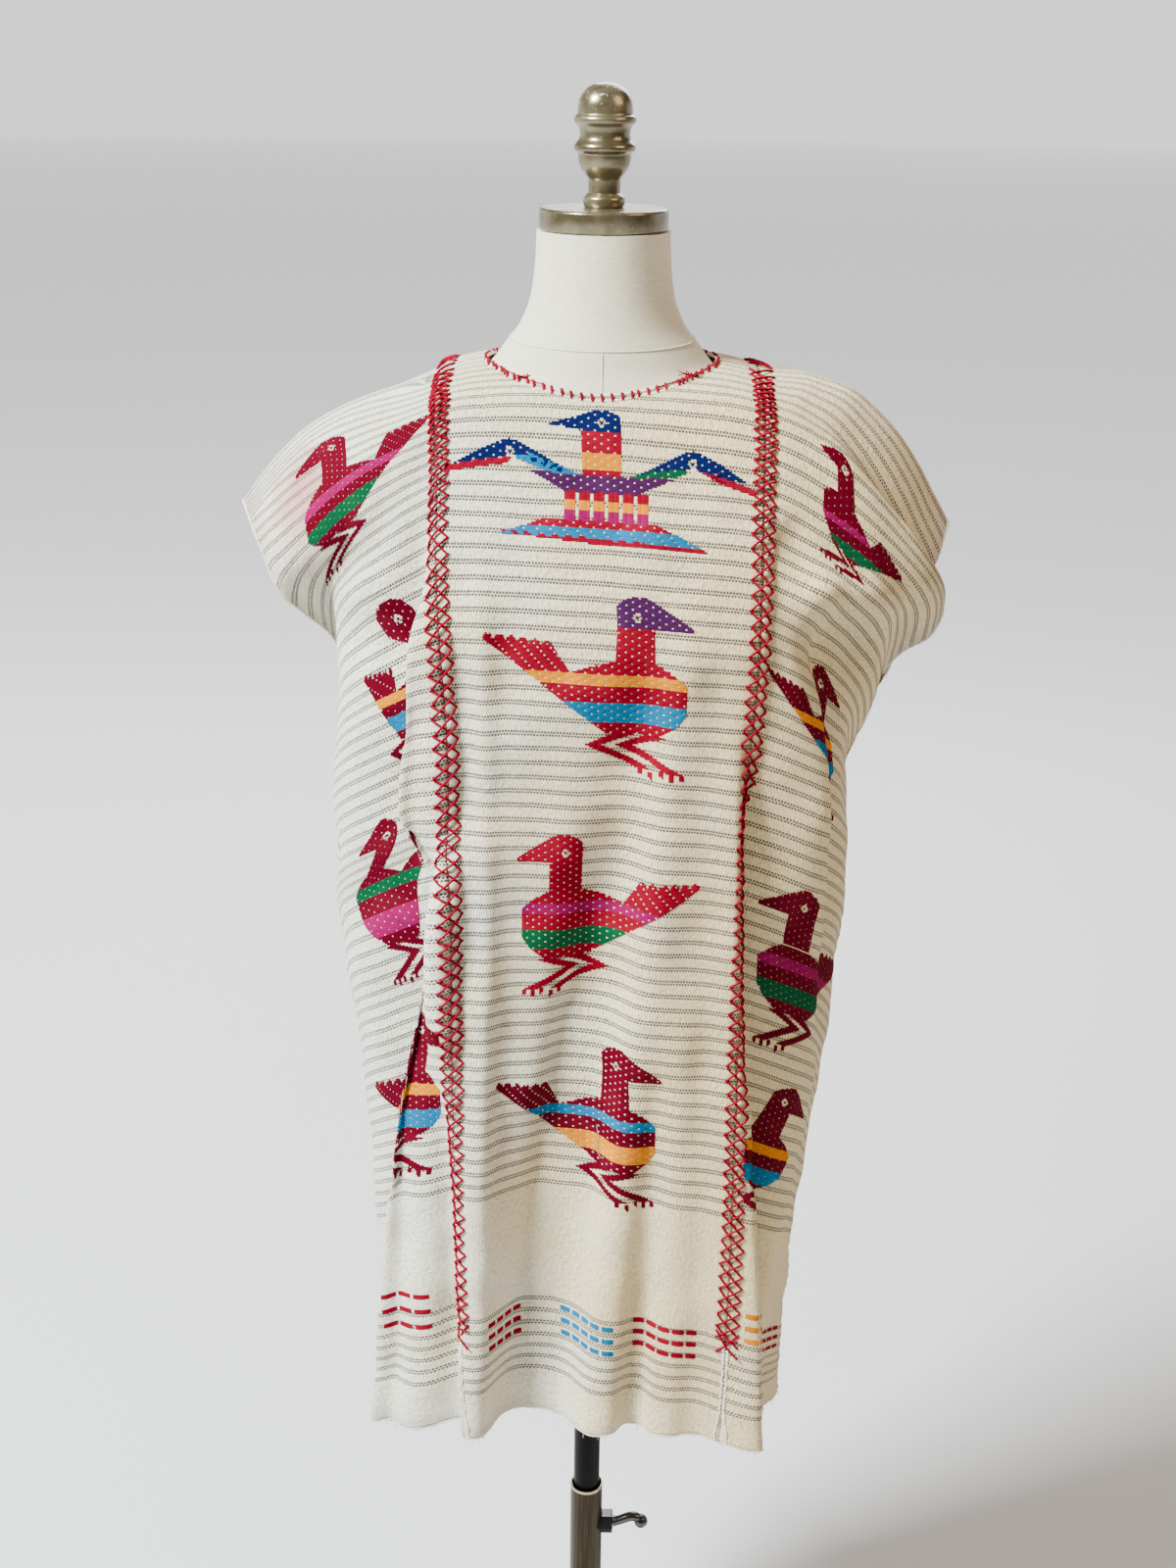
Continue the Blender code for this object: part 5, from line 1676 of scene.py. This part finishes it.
@dataclass
class DressForm:
    """Linen torso with its neck seams, and the cap and finial on its neck."""

    sides: int = 96
    low_rings: int = 40
    high_rings: int = 30
    neck_from: float = 1.42
    cap_top: float = 1.577
    cap_radius: float = .0508
    cap_thick: float = .017
    cap_edge: float = .0026
    seam_height: float = 1.4745
    seam_dip: float = .0070
    seam_radius: float = .0006
    seam_out: float = .0001
    chest_seam: tuple[float, float] = (1.473, 1.39)

    def section(self, height: float, turns: np.ndarray, out: float = 0.0) -> np.ndarray:
        """A level section of the torso."""
        rows = tuple(reversed(TORSO))
        half, front, back = (float(column(rows, TORSO_COLUMNS, name, height)) + out
                             for name in TORSO_COLUMNS[1:])
        deep = np.where(np.sin(turns) > 0, back, front)
        return np.stack([half * np.cos(turns), deep * np.sin(turns), np.full(len(turns), height)], -1)

    def torso(self, finish: bpy.types.Material) -> None:
        """The smooth linen torso, open nowhere."""
        turns = np.linspace(0, 2 * math.pi, self.sides, endpoint=False)
        low, high = TORSO[-1][0], TORSO[0][0]
        bm = bmesh.new()
        ring = bmesh.ops.create_circle(bm, cap_ends=False, segments=self.sides, radius=1)['verts']
        ring = sorted(ring, key=lambda vert: math.atan2(vert.co.y, vert.co.x) % (2 * math.pi))
        heights = np.concatenate([np.linspace(low, self.neck_from, self.low_rings),
                                  np.linspace(self.neck_from, high, self.high_rings)[1:]])
        first = list(ring)
        for i, height in enumerate(heights):
            if i:
                edges = [bm.edges.get((ring[k], ring[(k + 1) % self.sides])) for k in range(self.sides)]
                raised = bmesh.ops.extrude_edge_only(bm, edges=edges)['geom']
                fresh = {item for item in raised if isinstance(item, bmesh.types.BMVert)}
                ring = [next(edge.other_vert(vert) for edge in vert.link_edges
                             if edge.other_vert(vert) in fresh)
                        for vert in ring]
            for vert, point in zip(ring, self.section(float(height), turns)):
                vert.co = point
        bm.faces.new(ring)
        bm.faces.new(first)
        bmesh.ops.recalc_face_normals(bm, faces=bm.faces)
        mesh = mesh_of(bm, 'dress_form')
        mesh.set_sharp_from_angle(angle=math.radians(50))
        publish('dress_form', mesh, [finish], 'form', ('form_torso',))

    def seams(self, finish: bpy.types.Material) -> None:
        """The collar seam round the neck and the seam down the middle of the chest."""
        ring = []
        for turn in np.linspace(0, 2 * math.pi, 121):
            height = self.seam_height + self.seam_dip * (1 - math.cos(turn + math.pi / 2)) / 2
            ring.append(self.section(height, np.array([turn]), self.seam_out)[0])
        ahead = np.array([-math.pi / 2])
        down = [self.section(float(z), ahead, self.seam_out)[0] for z in np.linspace(*self.chest_seam, 16)]
        mesh = round_threads('form_seams', [np.array(ring), np.array(down)], self.seam_radius)
        publish('form_seams', mesh, [finish], 'form')

    def cap_profile(self) -> Rows:
        """The neck cap's profile, with its rounded upper rim and eased foot."""
        top, r, edge = self.cap_top, self.cap_radius, self.cap_edge
        low = top - self.cap_thick + .0003
        rim = [(top - edge * (1 - math.cos(a)), r - edge * (1 - math.sin(a)))
               for a in np.linspace(0, math.pi / 2, 7)]
        return ((top, 0.0), (top, r * .5), (top - .0001, r - .006), *rim,
                (low + .0012, r), (low + .0004, r - .0006), (low, r - .0016), (low, 0.0))

    def build(self) -> None:
        """Make the torso, its seams, the cap and the finial."""
        linen = Linen().make()
        brass = LacqueredBrass().make()
        self.torso(linen)
        self.seams(linen)
        top = self.cap_top
        publish('brass_cap', spun('brass_cap', self.cap_profile()), [brass], 'form',
                ('neck_cap',))
        turned, foot = (eased(tuple((top + h, r) for h, r in part)) for part in (FINIAL, FINIAL_FOOT))
        profile = (*turned, *foot, (top + .0003, 0.0))
        publish('brass_finial', spun('brass_finial', profile), [brass], 'form', ('finial',))


@dataclass
class Stand:
    """Telescoping pole, its clamp and the round base."""

    tube_radius: float = .015875
    tube_wall: float = .0015
    tube_foot: float = .0123
    tube_top: float = .36
    worn_rim: float = .0033
    bore_radius: float = .0041
    clamp_z: float = .312
    screw_radius: float = .0036
    lever_radius: float = .0047
    ball_radius: float = .0069

    def dress(self, node: str, finish: bpy.types.Material) -> None:
        """Give a CAD node a better material."""
        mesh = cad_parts[node].data
        mesh.materials.clear()
        mesh.materials.append(finish)

    def along_clamp(self, out: float) -> Matrix:
        """A place on the clamp's axis, for a body made along Z to lie along X."""
        return Matrix.Translation((out, 0, self.clamp_z)) @ Matrix.Rotation(math.pi / 2, 4, 'Y')

    def tube(self, bronze: bpy.types.Material, worn: bpy.types.Material) -> None:
        """The outer tube with its rubbed, slightly rolled rim and the clamp's bore."""
        r, top, low = self.tube_radius, self.tube_top, self.tube_foot
        inner = r - self.tube_wall
        rim = ((top - .0030, inner), (top - .0006, inner), (top - .0001, inner + .0003), (top, inner + .0007),
               (top - .0002, r - .0003), (top - .0008, r), (top - .0022, r + .00005),
               (top - .0032, r - .0001))
        profile = ((low, inner), *rim, (top - .006, r - .0001), (low, r - .0001), (low, inner))
        mesh = spun('outer_sleeve_tube', profile)
        mesh.materials.append(bronze)
        mesh.materials.append(worn)
        for face in mesh.polygons:
            face.material_index = 1 if face.center.z > top - self.worn_rim else 0
        bore = bmesh.new()
        bmesh.ops.create_cone(bore, cap_ends=True, segments=24, radius1=self.bore_radius,
                              radius2=self.bore_radius, depth=.02, matrix=self.along_clamp(r))
        cutter = bpy.data.objects.new('bore', mesh_of(bore, 'bore'))
        bpy.context.scene.collection.objects.link(cutter)
        piece = publish('outer_sleeve_tube', mesh, [], 'stand', ('outer_tube',))
        piece.modifiers.new('Bore', 'BOOLEAN').object = cutter
        graph = bpy.context.evaluated_depsgraph_get()
        bored = bpy.data.meshes.new_from_object(piece.evaluated_get(graph))
        piece.modifiers.clear()
        piece.data = bored
        bpy.data.objects.remove(cutter)

    def lever(self, black: bpy.types.Material) -> None:
        """The clamp screw, its collar, its bent arm and its ball, as one smooth piece."""
        fine = np.array(eased(tuple((out, self.clamp_z + up) for out, up in LEVER), 5))
        path = np.stack([fine[:, 0], np.zeros(len(fine)), fine[:, 1]], -1)
        bm = bmesh.new()
        bm.from_mesh(round_threads('arm', [path], self.lever_radius, 6))
        ball = Matrix.Translation((.0548, 0, self.clamp_z + .0004))
        bmesh.ops.create_uvsphere(bm, u_segments=32, v_segments=20, radius=self.ball_radius, matrix=ball)
        for out, near, far, depth in ((.0222, self.screw_radius, self.screw_radius, .0160),
                                      (.0283, .0058, .0050, .0028)):
            bmesh.ops.create_cone(bm, cap_ends=True, segments=32, radius1=near, radius2=far, depth=depth,
                                  matrix=self.along_clamp(out))
        mesh = mesh_of(bm, 'bent_lever')
        mesh.set_sharp_from_angle(angle=math.radians(40))
        publish('bent_lever', mesh, [black], 'clamp', ('clamp_lever',))

    def build(self) -> None:
        """Dress the pole, the tube, the boss, the lever and the base."""
        gun = DrawnMetal('gunmetal', (.0035, .003, .0025), (.010, .008, .0065), .30, .08, .0, .06).make()
        bronze = DrawnMetal('antique_bronze', (.016, .010, .0045), (.046, .031, .013), .30, .7, .05).make()
        worn = DrawnMetal('worn_bronze_rim', (.34, .27, .16), (.62, .52, .36), .14).make()
        black = BlackEnamel(.2).make()
        self.dress('inner_pole', gun)
        self.tube(bronze, worn)
        self.dress('clamp_boss', black)
        self.lever(black)
        self.dress('stand_base', black)


# ---------------------------------------------------------------- floor, lights and camera
# name, place, size, power, colour
LIGHTS = (
    ('window', (-2.8, -1.65, 4.4), 1.2, 1150, (.90, .96, .99)),
    ('room', (2.5, -1.2, 3.2), 1.6, 56, (1.0, .70, .45)),
    ('back', (.6, 2.6, 3.0), 2.0, 80, (1.0, 1.0, 1.0)))


@dataclass
class Studio:
    """Pale floor, soft lights and the camera."""

    camera_place: tuple[float, float, float] = (-.007, -1.61, 1.70)
    pitch_deg: float = 20.5
    roll_deg: float = 0.7
    lens: float = 45.79
    air: tuple[float, float, float, float] = (1.0, .88, .72, 1)
    air_power: float = .09

    def floor(self) -> None:
        """A wide pale floor."""
        bm = bmesh.new()
        bmesh.ops.create_grid(bm, x_segments=8, y_segments=8, size=40)
        g = Graph('pale_floor', Roughness=.9, Emission_Strength=1.0)
        place = g.place()
        cloud = g.noise(place, .6, 2)
        glow = g.mix(g.smoothly(g.apart(place)[1], .3, 3.5), (.02, .02, .02), (.80, .80, .80))
        g.finish(Base_Color=g.mix(cloud, (.62, .62, .62), (.68, .68, .68)), Emission_Color=glow)
        self.set_out('floor', bm, g.material)

    def wall(self) -> None:
        """A far round wall that carries the floor's paleness up to the room's air."""
        bm = bmesh.new()
        bmesh.ops.create_cone(bm, cap_ends=False, segments=96, radius1=38, radius2=38, depth=24)
        g = Graph('pale_wall', Roughness=1.0, Emission_Strength=1.0)
        _, back, high = g.apart(g.place())
        upright = g.mix(g.smoothly(high, 1.5, 12), (1.28, 1.28, 1.27), (.60, .59, .57))
        g.finish(Base_Color=(.01, .01, .01),
                 Emission_Color=g.mix(g.smoothly(back, 0, 12), (.10, .10, .10), upright))
        self.set_out('wall', bm, g.material)

    @staticmethod
    def set_out(name: str, bm: bmesh.types.BMesh, finish: bpy.types.Material) -> None:
        """Put a part of the studio into the scene."""
        part = bpy.data.objects.new(name, mesh_of(bm, name))
        part.data.materials.append(finish)
        bpy.context.scene.collection.objects.link(part)

    def light(self, name: str, place: tuple[float, ...], size: float, power: float, colour: Colour) -> None:
        """A soft square light that faces the blouse."""
        data = bpy.data.lights.new(name, 'AREA')
        data.size = size
        data.energy = power
        data.color = colour
        lamp = bpy.data.objects.new(name, data)
        lamp.location = place
        lamp.rotation_euler = (Vector((0, 0, 1.05)) - Vector(place)).to_track_quat('-Z', 'Y').to_euler()
        bpy.context.scene.collection.objects.link(lamp)

    def camera(self) -> None:
        """The camera, looking down a little at the blouse."""
        pitch, roll = math.radians(self.pitch_deg), math.radians(self.roll_deg)
        ahead = Vector((0, math.cos(pitch), -math.sin(pitch)))
        level = Vector((1, 0, 0))
        upright = level.cross(ahead)
        right = math.cos(roll) * level + math.sin(roll) * upright
        up = -math.sin(roll) * level + math.cos(roll) * upright
        data = bpy.data.cameras.new('camera')
        data.lens = self.lens
        data.sensor_width = 36
        data.sensor_fit = 'AUTO'
        data.clip_start = .05
        camera = bpy.data.objects.new('camera', data)
        turn = Matrix((right, up, -ahead)).transposed().to_4x4()
        camera.matrix_world = Matrix.Translation(self.camera_place) @ turn
        bpy.context.scene.collection.objects.link(camera)
        bpy.context.scene.camera = camera

    def build(self) -> None:
        """Set the stage."""
        self.camera()
        self.floor()
        self.wall()
        for row in LIGHTS:
            self.light(*row)
        world = bpy.data.worlds.new('room_air')
        bpy.context.scene.world = world
        world.use_nodes = True
        background = world.node_tree.nodes['Background']
        background.inputs[0].default_value = self.air
        background.inputs[1].default_value = self.air_power


def main() -> None:
    """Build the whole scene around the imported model."""
    logging.basicConfig(level=logging.INFO, format='%(name)s: %(message)s')
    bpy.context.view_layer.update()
    Studio().build()
    DressForm().build()
    Stand().build()
    Garment().build()


if __name__ == "__main__":
    main()
